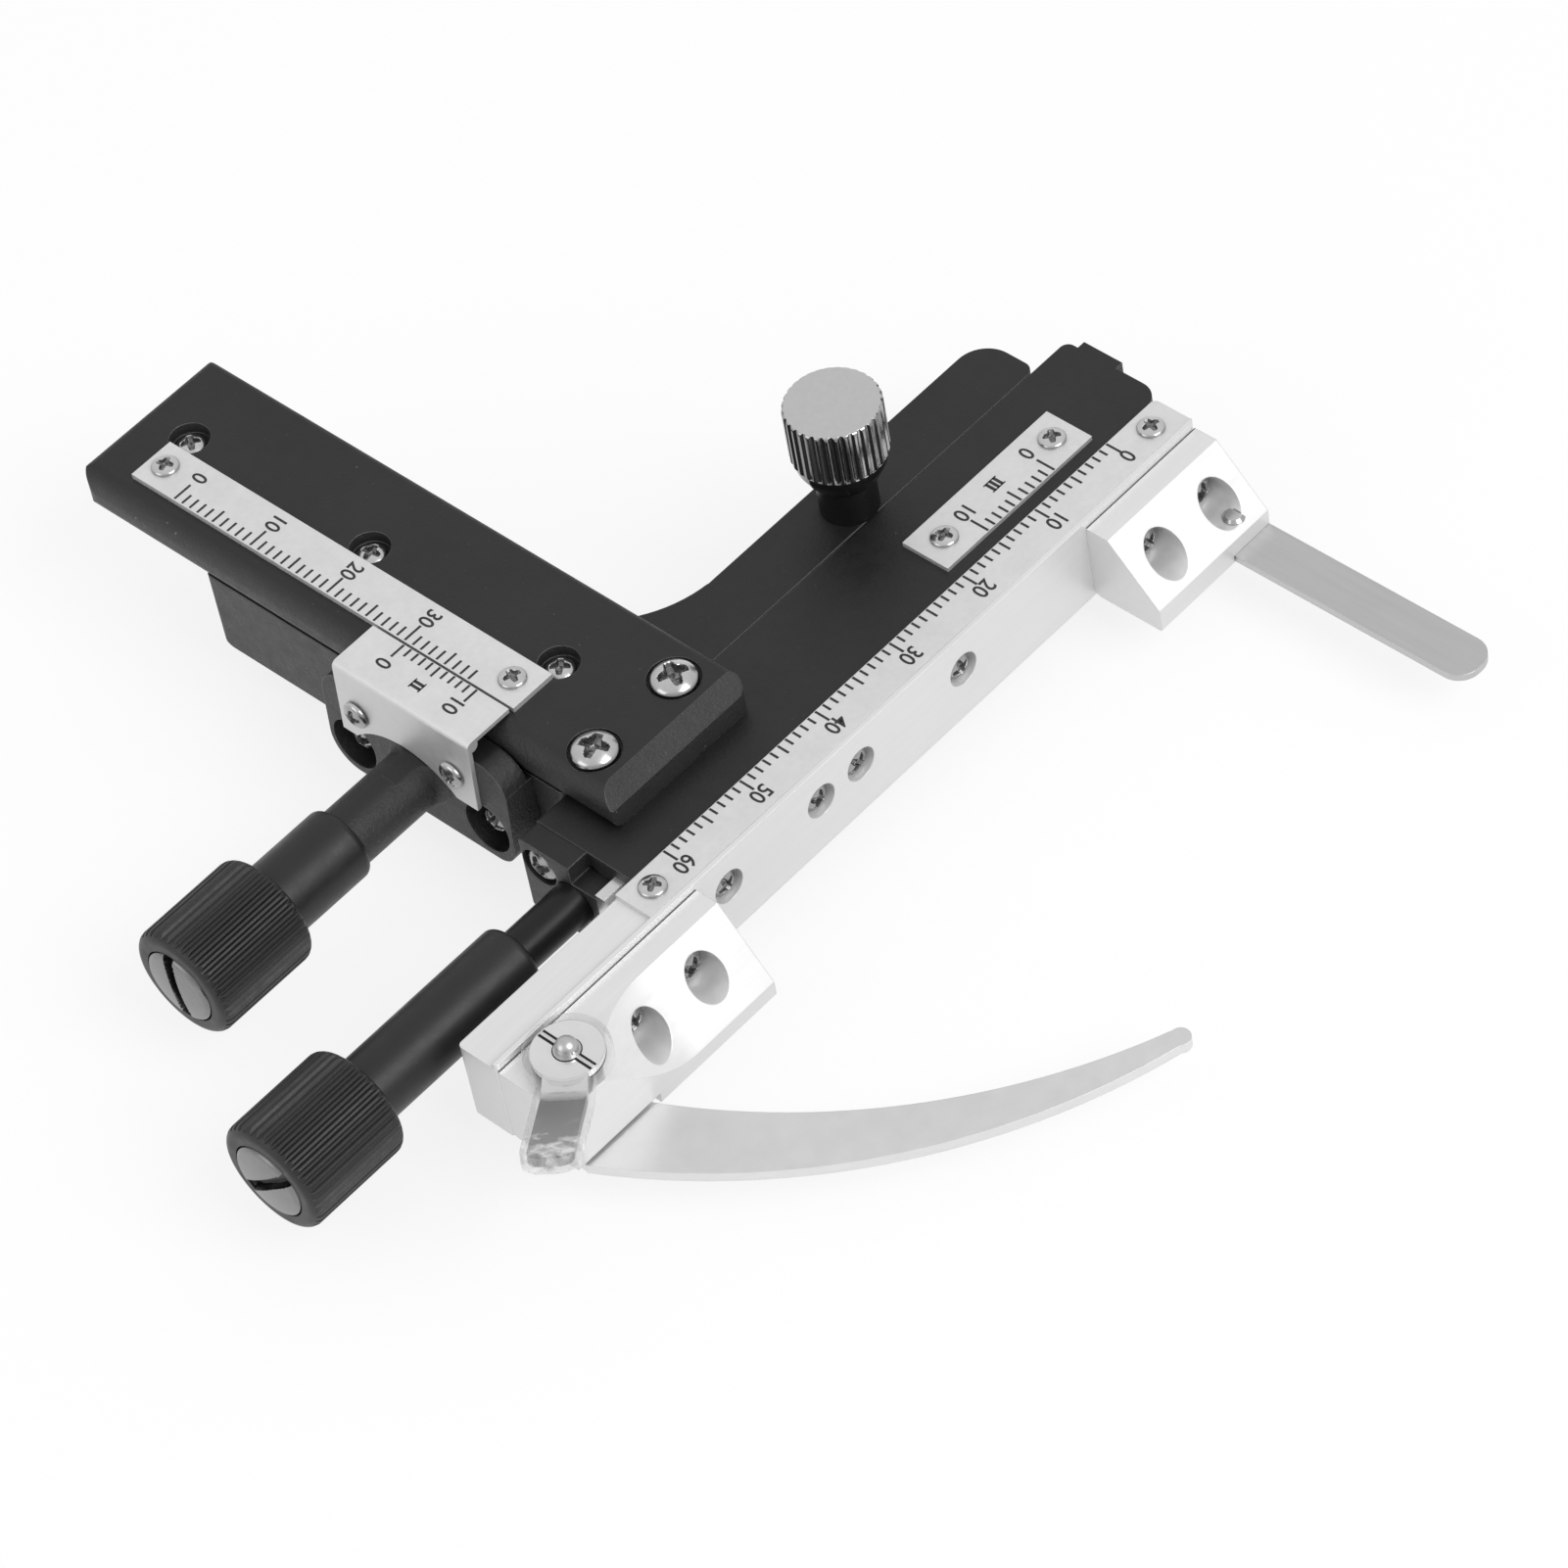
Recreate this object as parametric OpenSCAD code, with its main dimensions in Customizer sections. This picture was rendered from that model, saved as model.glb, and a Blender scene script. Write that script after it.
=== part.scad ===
// Attachable mechanical stage for a microscope, in millimetres.
// Origin: underside of the base on the axis of the clamp screw. +X runs along the cross slide
// towards its zero, +Y along the arm towards its zero, +Z up.

/* [Base] */
// Length of the clamping strip to the right of the clamp screw
strip_reach = 22.9; // [20:0.1:26]
// Depth of the clamping strip behind the clamp screw
strip_back = 4.0; // [3.6:0.1:7]
// Depth of the clamping strip in front of the clamp screw
strip_front = 2.7; // [2.6:0.1:2.9]
// Height of the base casting
base_h = 9.4; // [9:0.1:10]
// Left side face of the base casting
base_left = -41.2; // [-41.4:0.1:-40.8]
// Width of the base under the arm
base_w = 17.0; // [15:0.1:17.4]
// Rear end of the base under the arm
base_rear = 43.5; // [38:0.1:46]
// Radius of the fillet between strip and base
base_fillet = 13.0; // [6:0.5:14]

/* [Clamp screw] */
// Radius of the knurled clamp head
clamp_head_r = 4.65; // [4:0.05:5.5]
// Height of the top of the clamp head
clamp_top = 22.9; // [20:0.1:26]
// Length of the straight knurled part of the head
clamp_knurl_h = 5.8; // [4:0.1:7]
// Radius of the clamp screw's thread
clamp_thread_r = 2.0; // [1.5:0.05:2.1]
// Radius of the plain shoulder that turns in the collar
clamp_shank_r = 2.3; // [2.2:0.05:2.4]
// Length of thread that stands out below the base
clamp_thread = 4.5; // [3:0.1:8]
// Outer radius of the black collar round the shank
collar_r = 2.83; // [2.6:0.01:3.2]
// Height of the black collar above the strip
collar_h = 2.9; // [2:0.1:3.6]
// Radius of each locating pin under the strip
pin_r = 1.25; // [0.8:0.05:1.6]
// Distance between the two locating pins
pin_pitch = 26.0; // [16:0.5:30]
// Length that each locating pin stands out below the base
pin_out = 2.0; // [1:0.1:3]

/* [Arm] */
// Left side of the arm plate
arm_left = -41.6; // [-41.7:0.1:-41.5]
// Width of the arm plate
arm_w = 17.9; // [17:0.1:20]
// Front end of the arm plate
arm_front = -9.4; // [-9.8:0.1:-8.6]
// Rear end of the arm plate
arm_rear = 59.3; // [57:0.1:64]
// Thickness of the arm plate
arm_t = 4.2; // [4:0.1:4.4]
// Radius of the arm's left top edge
arm_edge_r = 2.0; // [0.8:0.1:2.4]
// Bevel on the front end of the arm
arm_bevel = 1.7; // [0.8:0.1:2.2]
// Radius of the large arm screw heads
arm_screw_r = 2.3; // [2:0.05:2.5]
// Distance between the two large arm screws
arm_screw_pitch = 10.4; // [9:0.1:11]

/* [Scales] */
// Thickness of the two rulers
ruler_t = 0.6; // [0.4:0.05:0.7]
// Thickness of the two vernier plates
vernier_t = 0.5; // [0.4:0.05:0.6]
// Width of the arm's ruler
y_ruler_w = 5.05; // [4.4:0.05:5.1]
// Length of the arm's ruler
y_ruler_len = 49.4; // [48:0.1:51]
// Length of the bent vernier along the arm
y_vernier_len = 17.1; // [15:0.1:18]
// Width of the top of the bent vernier
y_vernier_w = 5.6; // [5.2:0.1:5.6]
// Length of the flat vernier on the cross slide
x_vernier_len = 20.1; // [18:0.1:22]
// Width of the flat vernier on the cross slide
x_vernier_w = 5.5; // [4.5:0.1:5.6]

/* [Arm drive] */
// Distance of the arm knob's axis behind the clamp screw
y_axis_y = 12.8; // [12:0.1:14]
// Height of the arm knob's axis
y_axis_z = 5.5; // [5.4:0.05:5.6]
// Module of the pinion and rack teeth
gear_module = 0.5; // [0.5:0.01:0.5]
// Number of pinion teeth
pinion_teeth = 10; // [10:1:10]
// Face width of the pinion
pinion_w = 3.0; // [2:0.1:3.4]
// Radius of the pinion shaft
y_shaft_r = 1.5; // [1.2:0.05:1.6]
// Radius of the fixed tube on the pinion bracket
y_tube_r = 3.05; // [2.6:0.05:3.1]
// Radius of the arm knob's sleeve
y_sleeve_r = 3.73; // [3.5:0.01:4.2]
// Rear end of the fixed tube's visible length
y_sleeve_start = -54.7; // [-57:0.1:-50]

/* [Knobs] */
// Radius of the two knobs over their ribs
knob_r = 5.65; // [5:0.05:5.7]
// Length of the two knobs
knob_len = 11.4; // [9:0.1:13]
// Number of ribs round each knob
knob_ribs = 40; // [24:1:48]
// Radius of the slotted screw in each knob's end
end_screw_r = 3.8; // [3:0.05:4]
// Rear face of the arm knob
y_knob_rear = -64.1; // [-66:0.1:-62]
// Rear face of the cross knob
x_knob_rear = -74.6; // [-78:0.1:-74]

/* [Cross guide] */
// Left end of the guide block
guide_left = -44.85; // [-45.5:0.05:-44]
// Right end of the guide block
guide_right = 27.2; // [26:0.1:30]
// Front face of the guide block
guide_front = -14.4; // [-14.6:0.05:-14.2]
// Height of the guide block's top
guide_top = 9.5; // [9.4:0.05:9.6]
// Thickness of the bearing bracket on the guide's left end
bracket_t = 2.45; // [2:0.05:3]

/* [Cross drive] */
// Position of the cross knob's axis in front of the clamp screw
x_axis_y = -8.9; // [-9:0.05:-8.8]
// Height of the cross knob's axis
x_axis_z = 5.2; // [5:0.05:5.4]
// Radius of the plain part of the lead screw
x_shaft_r = 2.15; // [2:0.01:2.25]
// Radius over the lead screw's thread
thread_r = 2.3; // [2.2:0.01:2.35]
// Radius of the cross knob's sleeve
x_sleeve_r = 3.36; // [3:0.01:3.6]
// Left end of the shaft length that shows between sleeve and guide
x_sleeve_start = -55.0; // [-57:0.1:-54]

/* [Cross slide] */
// Left end of the rail
rail_left = -67.4; // [-69:0.1:-67]
// Right end of the rail
rail_right = 26.05; // [25.9:0.05:30]
// Width of the rail
rail_w = 4.85; // [4.6:0.05:5.2]
// Gap between the rail and the guide block
rail_gap = 0.25; // [0.15:0.05:0.35]
// Gap between the moving parts and the microscope's stage
stage_gap = 0.3; // [0.2:0.05:0.4]
// Width of the raised lip along the rail's front edge
lip_w = 0.55; // [0.3:0.05:0.7]
// Length of the dovetail bar behind the rail
slide_bar_len = 49.0; // [44:0.5:52]
// Left end of the dovetail bar
slide_bar_left = -47.5; // [-48.5:0.1:-47]

/* [Jaws] */
// Width of the fixed jaw along the rail
fixed_jaw_w = 15.4; // [14:0.1:17]
// Left end of the fixed jaw
fixed_jaw_left = 10.4; // [9:0.1:12]
// Width of the clip jaw along the rail
clip_jaw_w = 25.3; // [24:0.1:28]
// Depth of the jaws in front of the rail
jaw_depth = 8.1; // [7.8:0.1:8.6]
// Depth of the jaws' flat top
jaw_top_depth = 2.6; // [2:0.1:3.2]
// Height of the upright lip below the fixed jaw's slope
jaw_lip_h = 2.7; // [2:0.1:3.2]
// Height of the upright lip below the clip jaw's slope
clip_lip_h = 1.8; // [1.8:0.1:3.2]
// Radius of the round end of the slope on the clip jaw, at its top
scoop_r = 12.7; // [11:0.1:14]
// Distance between the two screws of a jaw
jaw_screw_pitch = 7.6; // [7:0.1:9]

/* [Slide clip] */
// Distance of the clip's pivot from the left end of the rail
pivot_in = 4.7; // [4.6:0.1:5.4]
// Distance of the clip's pivot in front of the rail
pivot_out = 4.15; // [4.05:0.05:4.3]
// Radius of the pivot stud
stud_r = 1.25; // [1:0.05:1.3]
// Radius of the lever's round head
lever_head_r = 3.3; // [3:0.05:3.4]
// Wall of the clear sleeve round the lever's head
sleeve_wall = 0.7; // [0.5:0.05:0.7]
// Width of the lever's tab
lever_w = 4.0; // [3:0.1:4.4]
// Length of the flat part of the lever from its pivot
lever_flat = 5.4; // [5:0.1:6]
// Length of the raised part of the lever
lever_tab = 11.0; // [8:0.5:14]
// Angle at which the lever's tab rises
lever_rise = 24; // [10:1:30]
// Thickness of the curved finger
finger_t = 1.1; // [1:0.05:1.2]
// Thickness of the straight finger
straight_t = 0.75; // [0.75:0.05:1]
// Length of the straight finger in front of its jaw
finger_len = 26.6; // [24:0.1:32]
// Width of the straight finger
finger_w = 4.95; // [4:0.05:5]
// Radius of the curved finger's inner edge
clip_inner_r = 64.21; // [60:0.01:66]
// Radius of the curved finger's outer edge
clip_outer_r = 64.47; // [62:0.01:68]

/* [Hidden] */
$fn = 64;
fit = 0.05;
run = 0.1;
seat = 0.02;
strip_y0 = -strip_front;
guide_back = strip_y0 - run;
clamp_neck_r = clamp_thread_r - 0.4;
pin_mid = 0;
pin_step = 0.35;
pin_in = 4;
mouth_h = 0.4;
base_right = base_left + base_w;
arm_z = base_h + run;
arm_top = arm_z + arm_t;
arm_right = arm_left + arm_w;
arm_mid = -32.3;
arm_screw_y = -4.3;
arm_screw_x = -32.8;
rack_screw_y = [5.5, 29.5, 53.3];
rack_screw_sink = 1.3;
arm_screw_sink = 0.5;
rack_z_pitch = y_axis_z + gear_module * pinion_teeth / 2;
rack_pitch = PI * gear_module;
pressure = 25;
rack_tip = 0.35;
rack_root = 0.5;
rack_left = -36.8;
rack_teeth_w = 3.2;
dovetail_top_w = 7.0;
dovetail_bottom_w = 9.4;
dovetail_z = rack_z_pitch - rack_tip;
rack_front = strip_y0 + 0.5;
rack_rear = 56.0;
y_ruler_x = -39.05;
y_ruler_y = 4.6;
y_bracket_left = -44.5;
y_bracket_y = 12.95;
y_bracket_w = 23.3;
y_bracket_top = 12.0;
ear_pitch = 16.9;
ear_z = 3.7;
skirt_z = 6.1;
bracket_draft = 3.3;
tube_fillet = 1.2;
arch_y = 13.8;
arch_z = -0.5;
arch_r = 9.15;
skirt_screw_z = 9.3;
skirt_screw_pitch = 12.1;
y_vernier_y = 4.8;
y_vernier_x = y_bracket_left - vernier_t;
y_vernier_z = arm_top + 0.25;
x_vernier_x = -1.1;
x_vernier_y = -13.0;
rail_back = guide_front - rail_gap;
rail_front = rail_back - rail_w;
rail_top = 9.4;
rail_lip_top = rail_top + ruler_t;
rail_screw_x = [-38.4, -26.2, -20.9, -7.0];
rail_screw_z = 6.0;
rail_screw_sink = 1.1;
x_ruler_left = -47.2;
jaw_top = rail_lip_top - 0.8;
jaw_bottom = stage_gap + 0.2;
jaw_front = rail_front - jaw_depth;
jaw_screw_z = 5.8;
slope_run = jaw_depth - jaw_top_depth;
pivot_x = rail_left + pivot_in;
pivot_y = rail_front - pivot_out;
finger_z = stage_gap;
finger_top = finger_z + finger_t;
straight_z = finger_top - straight_t;
finger_screw_r = 0.6;
finger_tip_r = 2.25;
lever_angle = 220;
lever_z = jaw_top + 0.7;
lever_t = 0.8;
stud_top = lever_z + lever_t + 1.4;
spring_r = 1.95;
spring_wire = 0.25;
spring_turns = 5;
spring_z = 5.2;
spring_pitch = 0.62;
knob_front_y = y_knob_rear - knob_len;
knob_front_x = x_knob_rear - knob_len;
black = [0.10, 0.10, 0.11];
casting = [0.16, 0.16, 0.17];
bare = [0.86, 0.86, 0.87];
steel = [0.70, 0.70, 0.71];
chrome = [0.80, 0.81, 0.82];

// Extrude a Y-Z outline along X
module along_x(x0, x1) {
    translate([x0, 0, 0])
        rotate([90, 0, 90])
            linear_extrude(x1 - x0)
                children();
}

// Extrude an X-Z outline along Y
module along_y(y0, y1) {
    translate([0, y1, 0])
        rotate([90, 0, 0])
            linear_extrude(y1 - y0)
                children();
}

// Extrude an X-Y outline along Z
module along_z(z0, z1) {
    translate([0, 0, z0])
        linear_extrude(z1 - z0)
            children();
}

module rod_x(x0, x1, y, z, r) {
    translate([x0, y, z])
        rotate([0, 90, 0])
            cylinder(h = x1 - x0, r = r);
}

module rod_y(y0, y1, x, z, r) {
    translate([x, y0, z])
        rotate([-90, 0, 0])
            cylinder(h = y1 - y0, r = r);
}

module rod_z(z0, z1, x, y, r) {
    translate([x, y, z0])
        cylinder(h = z1 - z0, r = r);
}

// The waste outside one rounded corner; dx and dy point into the shape
module corner_waste(x, y, dx, dy, r) {
    if (r > 0)
        difference() {
            translate([x + (dx < 0 ? -r : 0) - (dx > 0 ? 1 : 0), y + (dy < 0 ? -r : 0) - (dy > 0 ? 1 : 0)])
                square(r + 1);
            translate([x + dx * r, y + dy * r])
                circle(r);
            translate([dx > 0 ? x + r : x - r - 9, y - 9])
                square([9, 18]);
            translate([x - 9, dy > 0 ? y + r : y - r - 9])
                square([18, 9]);
        }
}

// Rectangle with four corner radii: low-low, high-low, high-high, low-high
module round_rect(lo, hi, radii) {
    difference() {
        translate(lo)
            square(hi - lo);
        corner_waste(lo[0], lo[1], 1, 1, radii[0]);
        corner_waste(hi[0], lo[1], -1, 1, radii[1]);
        corner_waste(hi[0], hi[1], -1, -1, radii[2]);
        corner_waste(lo[0], hi[1], 1, -1, radii[3]);
    }
}

// Pan-head screw with a cross recess; the head's seat is at z = 0 and its shank runs down
module pan_screw(head_r, head_h, shank_r, length) {
    cross_w = head_r * 0.26;
    cross_l = head_r * 1.15;
    dome_r = (head_r * head_r + head_h * head_h * 0.36) / (1.2 * head_h);
    difference() {
        union() {
            rotate_extrude()
                intersection() {
                    square([head_r, head_h]);
                    translate([0, head_h - dome_r])
                        circle(dome_r);
                }
            translate([0, 0, -length])
                cylinder(h = length + head_h * 0.3, r = shank_r);
        }
        for (a = [45, 135])
            rotate([0, 0, a])
                translate([-cross_l / 2, -cross_w / 2, head_h * 0.45])
                    cube([cross_l, cross_w, head_h]);
    }
}

// Screw whose head faces -X, seated on a face at x
module screw_left(x, y, z, head_r, head_h, shank_r, length) {
    translate([x, y, z])
        rotate([0, -90, 0])
            pan_screw(head_r, head_h, shank_r, length);
}

// Screw whose head faces -Y, seated on a face at y
module screw_front(x, y, z, head_r, head_h, shank_r, length) {
    translate([x, y, z])
        rotate([90, 0, 0])
            pan_screw(head_r, head_h, shank_r, length);
}

// Section of the arm's dovetail, widened by a clearance
module dovetail_section(gap) {
    polygon([
        [arm_mid - dovetail_bottom_w / 2 - gap, dovetail_z - gap],
        [arm_mid + dovetail_bottom_w / 2 + gap, dovetail_z - gap],
        [arm_mid + dovetail_top_w / 2 + gap, arm_z],
        [arm_mid - dovetail_top_w / 2 - gap, arm_z]
    ]);
}

// Section of the cross slide's dovetail bar, widened by a clearance
module bar_section(gap) {
    neck = 2.2 + gap;
    wide = 3.3 + gap;
    y0 = rail_back;
    polygon([
        [y0, x_axis_z - neck],
        [y0 + 0.45, x_axis_z - neck],
        [y0 + 1.35 - gap, x_axis_z - wide],
        [y0 + 2.45 + gap, x_axis_z - wide],
        [y0 + 2.45 + gap, x_axis_z + wide],
        [y0 + 1.35 - gap, x_axis_z + wide],
        [y0 + 0.45, x_axis_z + neck],
        [y0, x_axis_z + neck]
    ]);
}

function involute(rb, a) = rb * [cos(a) + a * PI / 180 * sin(a), sin(a) - a * PI / 180 * cos(a)];
function involute_angle(rb, r) = sqrt(max(0, r * r / (rb * rb) - 1)) * 180 / PI;
function turn(p, a) = [p[0] * cos(a) - p[1] * sin(a), p[0] * sin(a) + p[1] * cos(a)];

// Outline of the pinion with a tooth gap pointing along +Y of the sketch
module pinion_outline() {
    pitch_r = gear_module * pinion_teeth / 2;
    rb = pitch_r * cos(pressure);
    tip_r = pitch_r + 0.38;
    root_r = pitch_r - 0.58;
    backlash = 1.2;
    half = 90 / pinion_teeth - backlash;
    pitch_a = involute_angle(rb, pitch_r);
    shift = atan2(involute(rb, pitch_a)[1], involute(rb, pitch_a)[0]) + half;
    tip_a = involute_angle(rb, tip_r);
    flank = [for (i = [0:4]) turn(involute(rb, tip_a * i / 4), -shift)];
    mirrored = [for (i = [4:-1:0]) [flank[i][0], -flank[i][1]]];
    foot = turn([root_r, 0], -shift);
    tooth = concat([foot], flank, mirrored, [[foot[0], -foot[1]]]);
    step = 360 / pinion_teeth;
    polygon([for (k = [0:pinion_teeth - 1]) for (p = tooth) turn(p, 90 + step / 2 + k * step)]);
}

// Rack teeth as seen along X, pointing down from the pitch line
module rack_outline() {
    half = rack_pitch / 4 - 0.04;
    slant = tan(pressure);
    first = -2;
    last = floor((rack_rear - 9 - y_axis_y) / rack_pitch);
    for (k = [first:last]) {
        y = y_axis_y + k * rack_pitch;
        polygon([
            [y - half + rack_tip * slant, rack_z_pitch - rack_tip],
            [y + half - rack_tip * slant, rack_z_pitch - rack_tip],
            [y + half + rack_root * slant, rack_z_pitch + rack_root + seat],
            [y - half - rack_root * slant, rack_z_pitch + rack_root + seat]
        ]);
    }
}

module base_outline() {
    difference() {
        union() {
            round_rect([base_left, strip_y0], [base_right, base_rear], [0.8, 0, 1.2, 0.8]);
            round_rect([base_right - 1, strip_y0], [strip_reach, strip_back], [0, 1.2, 3.2, 0]);
            translate([base_right - 0.5, strip_back - 0.5])
                square([base_fillet * 0.75, base_fillet * 0.75]);
        }
        translate([base_right + base_fillet * 0.8, strip_back + base_fillet])
            circle(base_fillet);
        translate([base_right + base_fillet * 0.5, strip_back + base_fillet * 0.5])
            square(base_fillet);
    }
}

module base_side() {
    round_rect([strip_y0, 0], [base_rear, base_h], [0.6, 1.6, 0.6, 0]);
}

module base_casting() {
    color(casting)
        difference() {
            intersection() {
                along_z(0, guide_top)
                    base_outline();
                union() {
                    along_x(base_left, base_right)
                        base_side();
                    along_z(0, guide_top)
                        translate([base_right, strip_y0])
                            square([strip_reach - base_right, base_fillet + 10]);
                }
            }
            along_y(strip_y0 - 1, base_rear + 1)
                dovetail_section(run);
            rod_x(base_left - 1, rack_left + rack_teeth_w + 0.4, y_axis_y, y_axis_z, 3.25);
            rod_x(base_left - 1, base_left + 12.2, y_axis_y, y_axis_z, y_shaft_r + fit);
            for (s = [-1, 1])
                rod_x(base_left - 1, base_left + 5.2, y_bracket_y + s * ear_pitch / 2, ear_z, 1.0);
            rod_z(-1, guide_top + 1, 0, 0, clamp_neck_r + 0.08);
            rod_z(-1, mouth_h, 0, 0, clamp_thread_r + run);
            for (s = [-1, 1]) {
                rod_z(-1, pin_in, pin_mid + s * pin_pitch / 2, 0.4, pin_r - pin_step);
                rod_z(-1, mouth_h, pin_mid + s * pin_pitch / 2, 0.4, pin_r + run);
            }
        }
}

module clamp_collar() {
    color(black)
        difference() {
            rod_z(guide_top, guide_top + collar_h, 0, 0, collar_r);
            rod_z(guide_top - 1, guide_top + collar_h + 1, 0, 0, clamp_shank_r + fit);
        }
}

module locating_pins() {
    color(steel)
        for (s = [-1, 1])
            translate([pin_mid + s * pin_pitch / 2, 0.4, 0])
                rotate_extrude()
                    polygon([
                        [0, -pin_out],
                        [pin_r - 0.4, -pin_out],
                        [pin_r, 0.4 - pin_out],
                        [pin_r, 0],
                        [pin_r - pin_step, 0],
                        [pin_r - pin_step, pin_in],
                        [0, pin_in]
                    ]);
}

// Ribbed drum about Z from 0 to len, with rounded rims
module ribbed_drum(r, len, ribs, rim, depth) {
    intersection() {
        linear_extrude(len)
            polygon([for (i = [0:ribs * 4 - 1])
                (r - (i % 4 < 2 ? 0 : depth)) * [cos(i * 90 / ribs), sin(i * 90 / ribs)]]);
        rotate_extrude()
            round_rect([0, 0], [r, len], [0, rim, rim, 0]);
    }
}

module clamp_screw() {
    knurl_z = clamp_top - 0.4 - clamp_knurl_h;
    collar_z = guide_top + collar_h + run;
    color(chrome)
        union() {
            translate([0, 0, knurl_z])
                ribbed_drum(clamp_head_r, clamp_knurl_h + 0.4, 32, 0.4, 0.25);
            rotate_extrude()
                polygon([
                    [0, collar_z],
                    [2.35, collar_z],
                    [2.35, collar_z + 0.8],
                    [2.9, collar_z + 0.9],
                    [3.7, knurl_z - 2.2],
                    [clamp_head_r - 0.35, knurl_z - 0.9],
                    [clamp_head_r - 0.15, knurl_z + 0.1],
                    [0, knurl_z + 0.1]
                ]);
            rod_z(guide_top + run, collar_z, 0, 0, clamp_shank_r);
            rod_z(-0.5, guide_top + 0.5, 0, 0, clamp_neck_r);
            rod_z(-clamp_thread + 0.4, -run, 0, 0, clamp_thread_r);
            translate([0, 0, -clamp_thread])
                cylinder(h = 0.4, r1 = clamp_thread_r - 0.4, r2 = clamp_thread_r);
        }
}

module pinion_bracket() {
    side = arm_left - 0.3;
    color(casting)
        difference() {
            union() {
                difference() {
                    union() {
                        along_x(y_bracket_left - 2, base_left)
                            round_rect([y_bracket_y - y_bracket_w / 2, 0.3],
                                [y_bracket_y + y_bracket_w / 2, base_h - 0.1], [2.2, 3.4, 0, 0]);
                        along_x(y_bracket_left - 2, side)
                            round_rect([y_bracket_y - y_bracket_w / 2, base_h - 0.5],
                                [y_bracket_y + y_bracket_w / 2, y_bracket_top], [0, 0, 3, 3]);
                    }
                    along_y(y_bracket_y - y_bracket_w, y_bracket_y + y_bracket_w)
                        polygon([
                            [y_bracket_left - 9, -3],
                            [bracket_face(-3), -3],
                            [bracket_face(20), 20],
                            [y_bracket_left - 9, 20]
                        ]);
                }
                rod_x(-58, y_bracket_left + 1, y_axis_y, y_axis_z, y_tube_r);
                translate([bracket_face(y_axis_z) + 0.1, y_axis_y, y_axis_z])
                    rotate([0, -90, 0])
                        rotate_extrude()
                            difference() {
                                square([y_tube_r + tube_fillet, tube_fillet]);
                                translate([y_tube_r + tube_fillet, tube_fillet])
                                    circle(tube_fillet);
                            }
            }
            intersection() {
                along_y(y_vernier_y - run, y_vernier_y + y_vernier_len + run)
                    polygon([
                        [bracket_face(skirt_z - run) - 4, skirt_z - run],
                        [bracket_face(skirt_z - run), skirt_z - run],
                        [bracket_face(y_bracket_top), y_bracket_top],
                        [bracket_face(y_bracket_top) - 4, y_bracket_top]
                    ]);
                difference() {
                    along_x(y_bracket_left - 6, y_bracket_left + 1)
                        translate([y_vernier_y - 1, skirt_z - 1])
                            square([y_vernier_len + 2, 20]);
                    rod_x(y_bracket_left - 7, y_bracket_left + 2, arch_y, arch_z, arch_r - run);
                }
            }
            rod_x(y_sleeve_start - 5, base_left + 1, y_axis_y, y_axis_z, y_shaft_r + fit);
            for (s = [-1, 1]) {
                rod_x(y_bracket_left - 3, y_bracket_left + 1.8, y_bracket_y + s * ear_pitch / 2, ear_z, 2.75);
                rod_x(y_bracket_left, base_left + 1, y_bracket_y + s * ear_pitch / 2, ear_z, 1.2);
                rod_x(y_bracket_left - 2, side + 1, vernier_mid_y() + s * skirt_screw_pitch / 2,
                    skirt_screw_z, 0.8);
            }
        }
}

function vernier_mid_y() = y_vernier_y + y_vernier_len / 2 + 0.1;
function bracket_face(z) = y_bracket_left - (y_bracket_top - z) * tan(bracket_draft);

module pinion_bracket_screws() {
    color(chrome)
        for (s = [-1, 1])
            screw_left(y_bracket_left + 1.8, y_bracket_y + s * ear_pitch / 2, ear_z, 1.75, 1.8, 0.95, 6);
}

module y_vernier() {
    y0 = y_vernier_y;
    y1 = y_vernier_y + y_vernier_len;
    top = y_vernier_z + vernier_t;
    bend = vernier_t + 0.15;
    color(bare)
        difference() {
            along_y(y0, y1)
                union() {
                    polygon([
                        [bracket_face(skirt_z) - vernier_t, skirt_z],
                        [bracket_face(skirt_z), skirt_z],
                        [bracket_face(top - bend), top - bend],
                        [bracket_face(top - bend) - vernier_t, top - bend]
                    ]);
                    translate([bracket_face(top - bend) - vernier_t + bend, top - bend])
                        circle(bend);
                    translate([bracket_face(top - bend) - vernier_t + bend, y_vernier_z])
                        square([y_vernier_x + y_vernier_w - bracket_face(top - bend) + vernier_t - bend,
                            vernier_t]);
                }
            rod_x(y_vernier_x - 3, y_bracket_left + 1, arch_y, arch_z, arch_r);
            for (s = [-1, 1])
                rod_x(y_vernier_x - 3, y_bracket_left + 1, vernier_mid_y() + s * skirt_screw_pitch / 2,
                    skirt_screw_z, 0.9);
        }
}

module y_vernier_screws() {
    color(chrome)
        for (s = [-1, 1])
            screw_left(bracket_face(skirt_screw_z - 1.4) - vernier_t - 0.01,
                vernier_mid_y() + s * skirt_screw_pitch / 2, skirt_screw_z, 1.4, 0.8, 0.75, 2.6);
}

module y_shaft() {
    color(steel)
        difference() {
            rod_x(knob_front_y + 1.2, base_left + 11.8, y_axis_y, y_axis_z, y_shaft_r);
            rod_x(knob_front_y, knob_front_y + 6, y_axis_y, y_axis_z, 1.0);
        }
}

module y_pinion() {
    color([0.72, 0.60, 0.32])
        difference() {
            translate([0, y_axis_y, y_axis_z])
                along_x(rack_left + 0.1, rack_left + 0.1 + pinion_w)
                    pinion_outline();
            rod_x(rack_left - 1, rack_left + 5, y_axis_y, y_axis_z, y_shaft_r);
        }
}

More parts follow.
